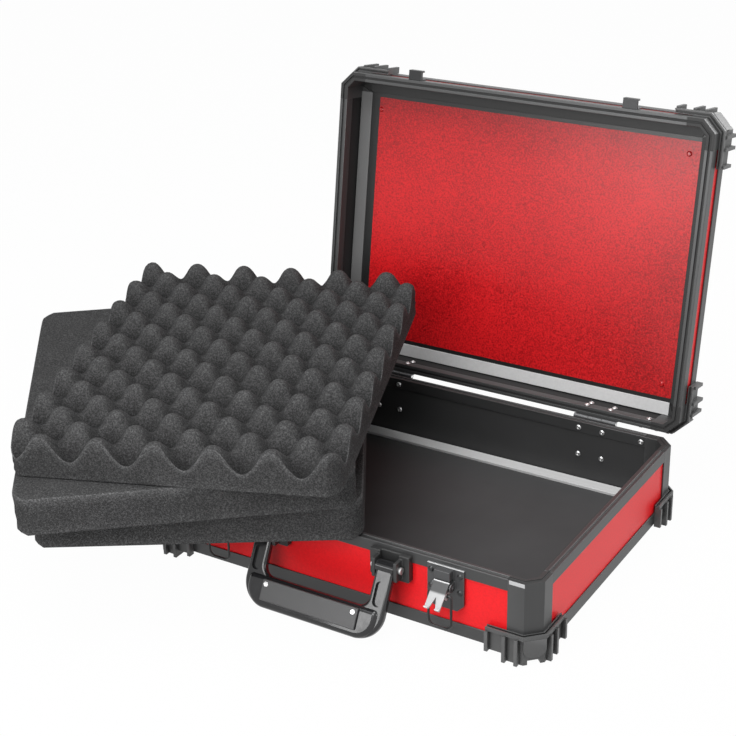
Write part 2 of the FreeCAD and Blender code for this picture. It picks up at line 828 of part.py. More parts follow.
def latch_lever():
    """The lever, shut and hanging from its pivot: a face sheet with two cheeks and a notched lip."""
    wide, face, sheet_gauge = size("lever_width") / 2, size("lever_face"), size("lever_sheet")
    root, length = size("lever_root"), size("lever_length")
    solids = [
        block("lever_face", (-wide, wide), (-face - sheet_gauge, -face), (-length, root)),
        block("lever_lip", (-wide, wide), (-face - sheet_gauge - size("lever_lip"), -face),
              (-length, sheet_gauge - length)),
    ]
    for ends in ((-wide, size("lever_cheek") - wide), (wide - size("lever_cheek"), wide)):
        solids.append(block("lever_cheek", ends, (-face - sheet_gauge, root),
                            (-size("lever_cheek_length"), root)))
    notch = size("lever_notch_width") / 2
    clearance = size("pin_clearance")
    slope = notch / size("lever_notch_length").value
    peak = size("lever_notch_length") - length
    mouth = notch + slope * OVERCUT
    vee = [(-mouth, -length - OVERCUT), (mouth, -length - OVERCUT), (zero, peak)]
    tools = [
        prism("lever_notch", vee, -face - 4 * size("lever_lip"), zero, plane="XZ"),
        rod("lever_pin_bore", "X", (-wide - OVERCUT, zero, zero), size("latch_pin_radius") + clearance,
            size("lever_width") + 2 * OVERCUT),
        rod("lever_bush_bore", "X", (-wide - OVERCUT, zero, -size("bush_arm")),
            size("bush_radius") + clearance, size("lever_width") + 2 * OVERCUT),
    ]
    return cut("lever", fused("lever_whole", *solids), *tools)


def latch_bush():
    """A bush across the lever whose bored ends take the bail's wire."""
    half = size("lever_width") / 2 + size("lever_side_gap") / 2
    deep, bore = size("bush_bore_depth"), size("bail_wire") + size("pin_clearance")
    bar = rod("bush", "X", (-half, zero, zero), size("bush_radius"), half * 2)
    holes = [rod("bush_bore", "X", (-half - OVERCUT, zero, zero), bore, deep + OVERCUT),
             rod("bush_bore", "X", (half - deep, zero, zero), bore, deep + OVERCUT)]
    return cut("latch_bush", bar, *holes)


def latch_bail():
    """A wire loop that hangs from the bush, long enough to draw on the lid's catch when it is shut."""
    wire, half, bend, corner = (size(f"bail_{part}") for part in ("wire", "half_width", "bend", "corner"))
    pulled = size("latch_pivot_depth") + size("bush_arm") + closing_gap
    length = pulled + size("catch_start") + size("catch_shelf") + wire + size("bail_slack")
    tip = size("lever_width") / 2 + size("lever_side_gap") / 2 - size("bush_bore_depth") + bend / 4
    legs = [rod("bail_leg", "Z", (x, zero, corner - length), wire, length - corner - bend)
            for x in (-half, half)]
    tips = [rod("bail_tip", "X", (-half + bend, zero, zero), wire, half - bend - tip),
            rod("bail_tip", "X", (tip, zero, zero), wire, half - bend - tip)]
    end = rod("bail_end", "X", (corner - half, zero, -length), wire, (half - corner) * 2)
    bends = [bail_bend(corner, (corner - half, zero, corner - length), 180),
             bail_bend(corner, (half - corner, zero, corner - length), 270),
             bail_bend(bend, (bend - half, zero, -bend), 90),
             bail_bend(bend, (half - bend, zero, -bend), 0)]
    return fused("latch_bail", *legs, *tips, end, *bends)


def bail_bend(radius, centre, start):
    """A right-angled bend of the bail's wire in the XZ plane, from a start angle."""
    arc = named("Part::Torus", "bail_bend")
    upright = FreeCAD.Rotation(FreeCAD.Vector(1, 0, 0), 90)
    arc.Placement = FreeCAD.Placement(
        FreeCAD.Vector(), upright.multiply(FreeCAD.Rotation(FreeCAD.Vector(0, 0, 1), start)))
    arc.Angle1 = -180
    arc.Angle2 = 180
    arc.Angle3 = 90
    bind(arc, Radius1=radius, Radius2=size("bail_wire"))
    bind(arc, Placement__Base__x=centre[0], Placement__Base__y=centre[1], Placement__Base__z=centre[2])
    return arc


def latches():
    lever_open, arm = size("lever_open"), size("bush_arm")
    bush_y = latch_y - arm * sine(lever_open)
    bush_z = latch_z - arm * cosine(lever_open)
    pins = []
    for side, x in (("left", -fitting_offset), ("right", fitting_offset)):
        keep(f"latch_plate_{side}", placed("latch_plate_at", latch_plate(), (x, zero, zero)))
        lever = placed("latch_lever_at", latch_lever(), (x, latch_y, latch_z), lever_open)
        keep(f"latch_lever_{side}", lever)
        keep(f"latch_bush_{side}", placed("latch_bush_at", latch_bush(), (x, bush_y, bush_z)))
        keep(f"latch_bail_{side}", placed("latch_bail_at", latch_bail(), (x, bush_y, bush_z)))
        pins.append(rod("latch_pin", "X", (x - ear_outer, latch_y, latch_z), size("latch_pin_radius"),
                        ear_outer * 2))
    keep("latch_pins", grouped("latch_pins", *pins))
    half = size("latch_width") / 2 - size("rivet_radius") - OVERCUT
    face = -half_depth - size("latch_plate")
    heads = [rivet((fitting_offset + step, face, base.height(size("latch_start") + drop)), True)
             for step in (-half, half) for drop in (size("rivet_upper"), size("latch_end") * 0.5)]
    keep("latch_rivets", both_sides("latch_rivets", grouped("latch_rivet_set", *heads)))


def catches():
    """Hooked catches on the lid's front rim that the bails draw down on."""
    half = size("catch_width") / 2
    run = (fitting_offset - half, fitting_offset + half)
    start, reach = size("catch_start"), size("catch_reach")
    shelf_end = start + size("catch_shelf")
    solids = [
        lid.wall("catch_plate", "front", run, (-size("catch_plate"), zero), start, size("catch_plate_end")),
        lid.wall("catch_shelf", "front", run, (-reach, zero), start, shelf_end),
        lid.wall("catch_lip", "front", run, (-reach, size("catch_lip") - reach), start,
                 shelf_end + size("catch_lip_rise")),
    ]
    lid.keep("lid_catches", both_sides("catches", fused("catch", *solids)))


handle_y = -half_depth - size("handle_pivot_reach")
handle_z = base.height(size("handle_pivot_depth"))
bracket_offset = size("bracket_offset")


def handle_brackets():
    """Blocks on the front wall: a broad base, two ears and a slot for the handle's arm between them."""
    half, ear = size("bracket_width") / 2, size("bracket_ear_width") / 2
    start, end = size("bracket_start"), size("bracket_end")
    margin = size("bracket_ear_margin")
    slot = size("handle_arm_width") / 2 + size("handle_arm_gap")
    run = (bracket_offset - half, bracket_offset + half)
    ears = (bracket_offset - ear, bracket_offset + ear)
    inner = (bracket_offset - slot, bracket_offset + slot)
    solids = [
        base.wall("bracket_base", "front", run, (-size("bracket_base"), zero), start, end),
        base.wall("bracket_pad", "front", run, (-OVERCUT + zero, rail_wall),
                  rim_height + seat_clearance, end),
        base.wall("bracket_ears", "front", ears, (-size("bracket_reach"), -OVERCUT + zero),
                  start + margin, end - margin),
    ]
    tools = [
        base.wall("bracket_slot", "front", inner,
                  (-size("bracket_reach") - OVERCUT, -size("bracket_slot_floor")),
                  start - OVERCUT, end + OVERCUT),
        rod("bracket_bore", "X", (ears[0] - OVERCUT, handle_y, handle_z),
            size("handle_pin_radius") + size("pin_clearance"), size("bracket_ear_width") + 2 * OVERCUT),
    ]
    bracket = cut("bracket", fused("bracket_whole", *solids), *tools)
    keep("handle_brackets", both_sides("handle_brackets", bracket))
    head = size("handle_pin_head_height")
    pin = fused(
        "handle_pin",
        rod("handle_pin_bar", "X", (ears[0], handle_y, handle_z), size("handle_pin_radius"),
            size("bracket_ear_width")),
        rod("handle_pin_head", "X", (ears[0] - head, handle_y, handle_z), size("handle_pin_head"), head),
        rod("handle_pin_head", "X", (ears[1], handle_y, handle_z), size("handle_pin_head"), head))
    keep("handle_pins", both_sides("handle_pins", pin))


def handle():
    """The hand loop hanging from its pins, its grip panel and the panel's screws, tilted to rest."""
    arm_half = size("handle_arm_width") / 2
    outer, inner = bracket_offset + arm_half, bracket_offset - arm_half
    length, bar = size("handle_length"), size("handle_bar_height")
    corner, inner_corner = size("handle_corner"), size("handle_inner_corner")
    thin, thick = size("handle_arm_thickness") / 2, size("handle_bar_thickness") / 2
    boss = size("handle_boss_radius")
    loop = [(-outer, zero), (-outer, -length, corner), (outer, -length, corner), (outer, zero),
            (inner, zero), (inner, bar - length, inner_corner), (-inner, bar - length, inner_corner),
            (-inner, zero)]
    loop_body = prism("handle_loop", loop, -thin, thin, plane="XZ", rounding=size("handle_arm_round"))
    side = outer - size("handle_bar_round")
    bar_outline = [(-side, bar - length), (-side, -length, corner - size("handle_bar_round")),
                   (side, -length, corner - size("handle_bar_round")), (side, bar - length)]
    bar_body = prism("handle_bar", bar_outline, -thick, thick, plane="XZ", rounding=size("handle_bar_round"))
    bosses = [rod("handle_boss", "X", (start, zero, zero), boss, size("handle_arm_width"))
              for start in (-outer, inner)]
    bore = rod("handle_bore", "X", (-outer - OVERCUT, zero, zero),
               size("handle_pin_radius") + size("pin_clearance"), outer * 2 + 2 * OVERCUT)
    recess, turn = size("arm_recess_width") / 2, size("arm_recess_round")
    recess_start, recess_end = size("arm_recess_start"), size("arm_recess_end")
    recesses = []
    for middle in (-bracket_offset, bracket_offset):
        slot = [(middle - recess, -recess_end, turn), (middle + recess, -recess_end, turn),
                (middle + recess, -recess_start, turn), (middle - recess, -recess_start, turn)]
        recesses.append(prism("arm_recess", slot, -thick, size("arm_recess_depth") - thin, plane="XZ"))
    frame = cut("handle_frame", fused("handle_whole", loop_body, bar_body, *bosses), bore, *recesses)
    half, grip = size("grip_length") / 2, size("grip_thickness")
    top, bottom = bar - length - size("grip_top_margin"), size("grip_bottom_margin") - length
    panel_outline = [(-half, bottom), (half, bottom), (half, top), (-half, top)]
    panel = prism("handle_grip", panel_outline, -thick - grip, -thick, plane="XZ",
                  rounding=size("grip_round"))
    inset = size("grip_screw_inset")
    screws = [rod("grip_screw", "Y", (x, -thick - grip - size("grip_screw_height"), top - inset),
                  size("grip_screw_radius"), size("grip_screw_height")) for x in (inset - half, half - inset)]
    tilt = size("handle_tilt")
    for label, part in (("handle_frame", frame), ("handle_grip", panel),
                        ("handle_screws", grouped("grip_screws", *screws))):
        keep(label, placed(f"{label}_at", part, (zero, handle_y, handle_z), tilt))


stack_y = size("tongue_inset") - half_depth
stack_z = base_height + size("tongue_height") + size("foam_gap")
lean_out = rail_width + size("hinge_setback")
lean_y = hinge_y - lean_out * cosine(open_angle) + closing_gap / 2 * sine(open_angle)
lean_z = hinge_z + lean_out * sine(open_angle) + closing_gap / 2 * cosine(open_angle) + size("foam_gap")
stack_lean = slope_angle((lean_z - stack_z) / (lean_y - stack_y))
slab_high_z = size("slab_low_height") + size("foam_gap")
wave_z = slab_high_z + size("slab_high_height") + size("foam_gap")


def sheet_outline():
    """A foam sheet's plan: a rectangle with its corners cut to clear the posts."""
    short, long, notch = size("foam_short") / 2, size("foam_long") / 2, size("foam_cut")
    right = [(short - notch, -long), (short, notch - long), (short, long - notch), (short - notch, long)]
    return right + [(-x, y) for x, y in reversed(right)]


def sheet_place(alias, height):
    """Where a turned sheet's middle lies from the front tongue, by the place of its rear corner."""
    short, long, turn = size("foam_short") / 2, size("foam_long") / 2, size(f"{alias}_turn")
    x = size(f"{alias}_x") - half_width - (short * cosine(turn) - long * sine(turn))
    y = size(f"{alias}_y") + half_depth - stack_y - (short * sine(turn) + long * cosine(turn))
    return x, y, height


def leaning(label, part, alias, height):
    """A sheet turned into its place in the stack, which rests on the front tongue and on the open lid's rail."""
    turned = placed(f"{label}_turned", part, sheet_place(alias, height), size(f"{alias}_turn"), (0, 0, 1))
    return placed(f"{label}_at", turned, (zero, stack_y, stack_z), stack_lean, (1, 0, 0))


def wave_top():
    """The convoluted top as one smooth surface through staggered peaks and hollows."""
    pitch = size("wave_pitch").value
    short, long = size("foam_short").value, size("foam_long").value
    valley, peak = size("wave_valley").value, size("wave_height").value
    middle, swing = (valley + peak) / 2, (peak - valley) / 2
    step = pitch / 4
    columns = int(short / step) // 2 + 2
    rows = int(long / step) // 2 + 2
    grid = []
    for column in range(-columns, columns + 1):
        line = []
        for row in range(-rows, rows + 1):
            rise = math.cos(math.pi * (column + 1) / 2) * math.cos(math.pi * (row + 1) / 2)
            line.append(FreeCAD.Vector(column * step, row * step, middle - swing * rise))
        grid.append(line)
    surface = Part.BSplineSurface()
    surface.interpolate(grid)
    return surface.toShape()


def foam():
    lift = (("foam_bottom_slab", "slab_low", zero, size("slab_low_height")),
            ("foam_middle_slab", "slab_high", slab_high_z, size("slab_high_height")))
    for label, alias, height, thickness in lift:
        slab = prism(label, sheet_outline(), zero, thickness)
        keep(label, leaning(label, slab, alias, height))
    sheet_body = prism("foam_wave", sheet_outline(), zero, size("wave_height") + OVERCUT)
    under = named("Part::Feature", "foam_wave_under")
    under.Shape = wave_top().extrude(FreeCAD.Vector(0, 0, -2 * size("wave_height").value))
    wave = named("Part::Common", "foam_wave_cut")
    wave.Base = sheet_body
    wave.Tool = under
    keep("foam_wave_sheet", leaning("foam_wave", wave, "wave", wave_z))


def write_pieces():
    """Checks every object, then writes each sub-part to its own file."""
    doc.recompute()
    for obj in doc.Objects:
        if "Invalid" in obj.State or "Error" in obj.State:
            raise RuntimeError(f"{obj.Label} did not compute: {obj.State}")
    os.makedirs("parts", exist_ok=True)
    for label, part in pieces.items():
        shape = part.Shape
        if shape.isNull() or not shape.isValid() or not shape.Solids:
            raise RuntimeError(f"{label} has no valid solid")
    for label, part in pieces.items():
        part.Shape.exportStep(f"parts/{label}.step")
        print(label, len(part.Shape.Solids), round(part.Shape.Volume))


for half in (base, lid):
    wall_panels(half)
    rails(half)
    corner_posts(half)
    corner_guards(half)
base_floor()
lid_top()
hinges()
hinge_rivets(base, size("rivet_lower"))
hinge_rivets(lid, size("lid_rivet_lower"))
latches()
catches()
handle_brackets()
handle()
foam()
write_pieces()
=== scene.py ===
"""Transport case: its finishes, foam sheets, fasteners and handle, and the studio that it stands in.

All lengths are metres in the case's own frame: X to the right, Y to the hinges, Z up from the floor.
"""
import json
import math

import bpy
from bpy.props import FloatProperty, FloatVectorProperty, IntProperty, PointerProperty
from mathutils import Matrix, Vector, noise


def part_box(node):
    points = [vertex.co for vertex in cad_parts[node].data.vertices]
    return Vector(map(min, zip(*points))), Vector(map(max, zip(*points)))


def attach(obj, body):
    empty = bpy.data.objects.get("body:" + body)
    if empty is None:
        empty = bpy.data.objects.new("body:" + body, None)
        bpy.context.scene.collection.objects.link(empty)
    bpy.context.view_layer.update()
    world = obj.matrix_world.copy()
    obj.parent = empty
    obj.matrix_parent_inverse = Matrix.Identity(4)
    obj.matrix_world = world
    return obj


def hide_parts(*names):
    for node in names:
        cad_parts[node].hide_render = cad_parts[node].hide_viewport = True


bl_info = {
    "name": "Transport case",
    "version": (1, 0, 0),
    "blender": (4, 5, 0),
    "location": "View3D > Sidebar > Transport case",
    "description": "Finishes, foam sheets, fasteners, handle and studio of an open transport case",
    "category": "Object",
}

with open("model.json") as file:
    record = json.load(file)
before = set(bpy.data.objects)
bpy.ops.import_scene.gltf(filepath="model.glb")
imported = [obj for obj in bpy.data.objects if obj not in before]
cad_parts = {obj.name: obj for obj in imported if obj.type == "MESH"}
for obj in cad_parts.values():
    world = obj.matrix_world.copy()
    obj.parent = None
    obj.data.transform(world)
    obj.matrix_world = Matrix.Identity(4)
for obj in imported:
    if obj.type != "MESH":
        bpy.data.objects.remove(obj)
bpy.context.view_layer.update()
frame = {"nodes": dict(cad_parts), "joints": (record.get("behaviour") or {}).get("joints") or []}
JOINTS = {joint["name"]: joint for joint in frame["joints"]}
HINGE = Vector(JOINTS["lid_hinge"]["pos_m"])
OPEN_ANGLE = math.radians(JOINTS["lid_hinge"]["range_deg"][1])
PANEL_SLACK = 0.0006
LEVER_SHADE_BREAK = 0.55
LEVER_HIGHLIGHT_DEPTH = 0.0009
PLATE_HIGHLIGHT_DEPTH = 0.0007
CUT_DRAW = 0.586
SLAB_DIP = 0.0008
SLAB_DIP_SCALE = 14
SIDE_DIP = 0.0008
EDGE_DEGREES = (30, 60, 90)
SIDE_SHARES = (0.75, 0.5, 0.25)
FLOOR_REACH = 12.0
FLOOR_DROP = 0.0002
SOFTBOXES = (
    ("key", (0.0, -1.05, 0.68), (0.0, 0.2, 0.4), (0.7, 0.62)),
    ("top", (-0.1, -0.5, 2.0), (-0.05, 0.0, 0.1), (1.6, 1.4)),
    ("side", (1.8, -0.3, 0.5), (0.1, 0.0, 0.1), (0.9, 0.9)),
    ("rear", (0.8, 1.8, 0.9), (0.0, 0.2, 0.2), (0.9, 0.9)),
    ("kicker", (-0.373, -1.05, 0.33), (0.0675, -0.19, 0.035), (0.1, 0.17)),
)


def length(name, description, default):
    """A length property in metres."""
    return FloatProperty(name=name, description=description, default=default, unit="LENGTH", precision=5)


def colour(name, description, default):
    """A linear colour property."""
    return FloatVectorProperty(name=name, description=description, default=default, size=3,
                               subtype="COLOR", min=0.0, max=1.0)


def position(name, description, default):
    """A place property in metres."""
    return FloatVectorProperty(name=name, description=description, default=default, size=3,
                               subtype="TRANSLATION", precision=5)


def bearing(name, description, degrees):
    """An angle property, given in degrees."""
    return FloatProperty(name=name, description=description, default=math.radians(degrees), subtype="ANGLE")


def power(name, description, default):
    """A lamp's power in watts."""
    return FloatProperty(name=name, description=description, default=default, unit="POWER")


def share(name, description, default):
    """A plain factor."""
    return FloatProperty(name=name, description=description, default=default, subtype="FACTOR")


class CaseColours(bpy.types.PropertyGroup):
    """Base colours of the finishes."""
    red: colour("Red laminate", "Walls and top panel", (0.72, 0.011, 0.015))
    red_deep: colour("Deep red", "Darker fleck in the laminate", (0.3, 0.0025, 0.005))
    lining: colour("Lining", "Black lined boards", (0.033, 0.033, 0.0335))
    rail: colour("Rail", "Anodised rails and posts", (0.055, 0.0555, 0.056))
    strip: colour("Strip", "Plain aluminium strips", (0.6, 0.6, 0.6))
    guard: colour("Guard", "Moulded corner guards", (0.065, 0.0655, 0.066))
    gloss: colour("Gloss black", "Polished handle moulding", (0.014, 0.014, 0.015))
    grip: colour("Grip", "Satin grip panel", (0.05, 0.05, 0.051))
    plate: colour("Plate", "Coated latch and hinge plates", (0.07, 0.071, 0.073))
    bright: colour("Bright plate", "Plated levers and screws", (0.86, 0.86, 0.87))
    rivet: colour("Rivet", "Plain rivet heads", (0.5, 0.5, 0.5))
    rubber: colour("Rubber", "Seal and post caps", (0.012, 0.012, 0.012))
    foam: colour("Foam", "Open cell foam", (0.039, 0.039, 0.0395))


class CaseSizes(bpy.types.PropertyGroup):
    """Sizes of what is added to the shell."""
    width: length("Width", "Case width over the rails", 0.434)
    depth: length("Depth", "Case depth over the rails", 0.328)
    rim: length("Rim height", "Height of the base's rim", 0.0845)
    gap: length("Closing gap", "Gap between base and lid", 0.0003)
    edge: length("Edge round", "Rounding of rail and plate edges", 0.0005)
    guard_edge: length("Guard round", "Rounding of the guards' edges", 0.0009)
    rivet_radius: length("Rivet radius", "Radius of a rivet head", 0.003)
    rivet_height: length("Rivet height", "Height of a rivet head", 0.0014)
    hinge_inset: length("Hinge inset", "From the case's end to the middle of a hinge", 0.0925)
    end_rivet: length("End rivet", "From the middle to the rivet at the right end", 0.182)
    rivet_spread: length("Rivet spread", "From a hinge's middle to its rivets", 0.0135)
    hinge_leaf: length("Hinge leaf", "Thickness of a hinge leaf", 0.002)
    # Painted shadow: the black band on the lid's panel reaches from the strips to these borders.
    border: length("Border", "From the outer face to the red of the lid's panel", 0.0275)
    shade_band_left: length("Left border", "The same at the left end", 0.033)
    shade_band_right: length("Right border", "The same at the right end", 0.0178)
    panel_inside: length("Panel height", "Height of the shut lid's inner panel", 0.117)
    strip_reach: length("Strip reach", "From the outer face to a lid strip's inner edge", 0.0235)
    rim_rivet: length("Rim rivet", "Depth of the rivets in the rim rails", 0.007)
    base_rivet: length("Base rivet", "Depth of the rivets in the base's rear wall", 0.039)
    lid_rivet: length("Lid rivet", "Depth of the rivets in the lid's rear wall", 0.019)
    # Painted highlight: these place a pale glint on the right front post near its top.
    glint_start: length("Bare start", "Where the front rail's bare end starts", 0.188)
    glint_stop: length("Bare stop", "Where the front rail's bare end stops", 0.2035)
    glint_face: length("Bare face", "From the middle to the bare end's face", 0.1632)
    glint_height: length("Bare height", "Height of the bare end", 0.0042)
    rail_width: length("Rail width", "From the outer face to a rim rail's inner face", 0.009)
    wall_inner: length("Wall", "From the outer face to a board's inner face", 0.0078)


class FoamSizes(bpy.types.PropertyGroup):
    """Sizes of the foam sheets."""
    short: length("Short side", "Sheet's short side", 0.312)
    long: length("Long side", "Sheet's long side", 0.414)
    cut: length("Corner cut", "Cut at each corner", 0.011)
    valley: length("Valley", "Height of the hollows", 0.016)
    peak: length("Peak", "Height of the peaks", 0.042)
    pitch: length("Pitch", "From peak to peak", 0.0539)
    fullness: share("Fullness", "How much rounder the peaks are than a wave", 0.27)
    edge: length("Edge round", "Softness of the cut edges", 0.003)
    corner_soft: length("Corner softness", "How softly the corner cuts start", 0.004)
    # Painted light and shade: paler cut edges and crests, darker hollows, as the light falls on them.
    edge_highlight: share("Edge tone", "How much paler the cut edges are", 0.55)
    crest_light: share("Crest tone", "How much paler the crests are", 0.2)
    hollow_shade: share("Hollow tone", "How much darker the hollows are", 0.8)
    slab_cells: IntProperty(name="Slab cells", description="Cells along a slab's short side", default=48)
    wave_cells: IntProperty(name="Wave cells", description="Cells along the wave's short side", default=96)
    low_thick: length("Bottom thickness", "Thickness of the bottom slab", 0.04)
    high_thick: length("Middle thickness", "Thickness of the middle slab", 0.038)
    seat: position("Seat", "Where the stack rests on the front tongue", (0.0, -0.1603, 0.0862))
    low_place: position("Bottom place", "Middle of the bottom slab from the seat", (-0.19868, 0.08909, 0.0))
    high_place: position("Middle place", "Middle of the middle slab from the seat",
                         (-0.20675, 0.05191, 0.0403))
    wave_place: position("Wave place", "Middle of the convoluted sheet from the seat",
                         (-0.16263, 0.07446, 0.0786))
    lean: bearing("Lean", "Rise of the stack towards the lid", 1.8729)
    low_turn: bearing("Bottom turn", "Turn of the bottom slab", 30.65)
    high_turn: bearing("Middle turn", "Turn of the middle slab", 37.3)
    wave_turn: bearing("Wave turn", "Turn of the convoluted sheet", 19.9)


class StudioSettings(bpy.types.PropertyGroup):
    """Camera and light."""
    azimuth: bearing("Azimuth", "Camera's turn round the case", 31.637)
    elevation: bearing("Elevation", "Camera's height angle", 24.599)
    roll: bearing("Roll", "Camera's roll", -1.179)
    distance: length("Distance", "From the camera to its target", 1.641324)
    target: position("Target", "What the camera looks at", (-0.056002, 0.0, 0.172518))
    lens: FloatProperty(name="Lens", description="Focal length", default=78.825,
                        subtype="DISTANCE_CAMERA")
    ambient: share("Ambient", "Strength of the surround", 0.15)
    key_power: power("Key", "Front softbox in watts", 10.0)
    top_power: power("Top", "Overhead softbox in watts", 46.0)
    side_power: power("Side", "Right softbox in watts", 9.0)
    rear_power: power("Rear", "Softbox behind the lid in watts", 16.0)
    kicker_power: power("Kicker", "Small box seen in the handle, in watts", 0.4)
    floor_tone: share("Floor", "How pale the floor is to the light on it", 0.55)
    floor_white: share("White", "Share of plain white that the floor shows", 0.98)


class Wire:
    """An output in a finish's node tree. Python arithmetic on it adds the nodes that work it out."""

    def __init__(self, finish, socket):
        self.finish = finish
        self.socket = socket

    def combine(self, operation, first, second):
        if self.socket.type == "VALUE":
            return self.finish.node("ShaderNodeMath", {"operation": operation}, {0: first, 1: second})
        ends = [(end,) * 3 if isinstance(end, (int, float)) else end for end in (first, second)]
        return self.finish.node("ShaderNodeVectorMath", {"operation": operation}, {0: ends[0], 1: ends[1]})

    def __add__(self, other):
        return self.combine("ADD", self, other)

    def __radd__(self, other):
        return self.combine("ADD", other, self)

    def __sub__(self, other):
        return self.combine("SUBTRACT", self, other)

    def __rsub__(self, other):
        return self.combine("SUBTRACT", other, self)

    def __mul__(self, other):
        return self.combine("MULTIPLY", self, other)

    def __rmul__(self, other):
        return self.combine("MULTIPLY", other, self)

    def __lt__(self, other):
        return self.combine("LESS_THAN", self, other)

    def __gt__(self, other):
        return self.combine("GREATER_THAN", self, other)


class Finish:
    """One material, or the world, and the nodes that make it."""

    def __init__(self, name, world=None):
        self.material = world or bpy.data.materials.new(name)
        self.material.use_nodes = True
        self.tree = self.material.node_tree
        self.tree.nodes.clear()

    def node(self, kind, settings=None, sockets=None, output=0):
        """Adds a node: its settings first, then the values or links of its sockets."""
        added = self.tree.nodes.new(kind)
        for key, value in (settings or {}).items():
            if key == "stops":
                ramp = added.color_ramp.elements
                while len(ramp) < len(value):
                    ramp.new(0.5)
                for stop, (where, tint) in zip(ramp, value):
                    stop.position = where
                    stop.color = (*tint, 1.0)
            else:
                setattr(added, key, value)
        for key, value in (sockets or {}).items():
            self.feed(added.inputs[key], value)
        return Wire(self, added.outputs[output])

    def feed(self, socket, value):
        if isinstance(value, Wire):
            self.tree.links.new(value.socket, socket)
        elif socket.type == "RGBA":
            socket.default_value = (*value[:3], 1.0)
        else:
            socket.default_value = value

    def place(self):
        """Where a point lies on the piece, in metres."""
        return self.node("ShaderNodeTexCoord", output="Object")

    def axis(self, vector, index):
        return self.node("ShaderNodeSeparateXYZ", None, {0: vector}, index)

    def grain(self, vector, scale, detail=2.0, roughness=0.5):
        return self.node("ShaderNodeTexNoise", None,
                         {"Vector": vector, "Scale": scale, "Detail": detail, "Roughness": roughness})

    def span(self, value, low, high, start=0.0, end=1.0):
        """A value carried smoothly from one range to another, held at the ends."""
        return self.node("ShaderNodeMapRange", {"interpolation_type": "SMOOTHSTEP"},
                         {0: value, 1: low, 2: high, 3: start, 4: end})

    def blend(self, first, second, factor):
        return self.node("ShaderNodeMix", {"data_type": "RGBA"}, {0: factor, 6: first, 7: second}, 2)

    def crevice_shade_factor(self, distance):
        """Painted shade: nought deep in a crevice of the piece, one on an open face."""
        shut_in = self.node("ShaderNodeAmbientOcclusion", {"samples": 8, "only_local": True},
                            {"Distance": distance}, "AO")
        return self.span(shut_in, 0.35, 0.85)

    def bump(self, height, strength, distance):
        return self.node("ShaderNodeBump", None,
                         {"Height": height, "Strength": strength, "Distance": distance})

    def surface(self, sockets):
        """Ends the finish in one Principled shader."""
        shader = self.node("ShaderNodeBsdfPrincipled", None, sockets)
        self.end("ShaderNodeOutputMaterial", shader)
        return self.material

    def seen_plainly(self):
        """One where the camera, a shiny face or clear stuff looks straight at the background."""
        rays = [self.node("ShaderNodeLightPath", output=f"Is {ray} Ray")
                for ray in ("Camera", "Glossy", "Transmission")]
        return self.node("ShaderNodeClamp", None, {0: rays[0] + rays[1] + rays[2]})

    def end(self, kind, shader):
        output = self.tree.nodes.new(kind)
        self.tree.links.new(shader.socket, output.inputs["Surface"])


def colours():
    return bpy.context.scene.case_colours


def sizes():
    return bpy.context.scene.case_sizes


def shade(value, factor):
    """A colour made lighter or darker."""
    return tuple(min(1.0, part * factor) for part in value[:3])


def red_laminate(name, depth, fleck, roughness, grain_depth, gloss, border=None):
    """Red laminate: a fine fleck in the colour, a slight orange peel and, if it has one, a painted shadow
    band in black.
    """
    look, tone = Finish(name), colours()
    red, deep = shade(tone.red, depth), shade(tone.red_deep, depth)
    place = look.place()
    fine = look.grain(place, 520.0, 3.0, 0.65)
    broad = look.grain(place, 9.0, 2.0)
    mixed = look.span(fine + broad * 0.25, 0.42, 0.78)
    base = look.blend(deep, red, mixed * fleck + (1.0 - fleck))
    # Painted shadow: where the band mask is one, the laminate turns black.
    if border is not None:
        base = look.blend(base, tone.rubber, border(look, place))
    return look.surface({
        "Base Color": base,
        "Roughness": fine * 0.12 + roughness,
        "Specular IOR Level": gloss,
        "Normal": look.bump(fine, 0.35, grain_depth),
    })


def lid_shade_band(look, place):
    """Painted shadow: one on the black band round the lid's inner panel, where the strips' edges shade it,
    nought on its red.
    """
    shut = lid_shut(look, place)
    size = sizes()
    x, y, z = (look.axis(shut, index) for index in range(3))
    left = (x + size.width / 2) < size.shade_band_left
    right = (size.width / 2 - x) < size.shade_band_right
    front = (y + size.depth / 2) < size.border
    rear = (size.depth / 2 - y) < size.border
    inside = z < size.panel_inside + PANEL_SLACK
    edges = look.node("ShaderNodeMath", {"operation": "MAXIMUM"}, {0: left, 1: right})
    ends = look.node("ShaderNodeMath", {"operation": "MAXIMUM"}, {0: front, 1: rear})
    return look.node("ShaderNodeMath", {"operation": "MAXIMUM"}, {0: edges, 1: ends}) * inside


def black_lining(name, tint, roughness, gloss):
    """Thin black lining on board: low sheen with a faint leather-like grain."""
    look = Finish(name)
    place = look.place()
    fine = look.grain(place, 1600.0, 2.0)
    scuff = look.grain(place, 14.0, 4.0, 0.6)
    base = look.blend(shade(tint, 0.85), shade(tint, 1.2), scuff)
    return look.surface({
        "Base Color": base,
        "Roughness": scuff * 0.14 + roughness,
        "Specular IOR Level": gloss,
        "Normal": look.bump(fine, 0.2, 0.00015),
    })


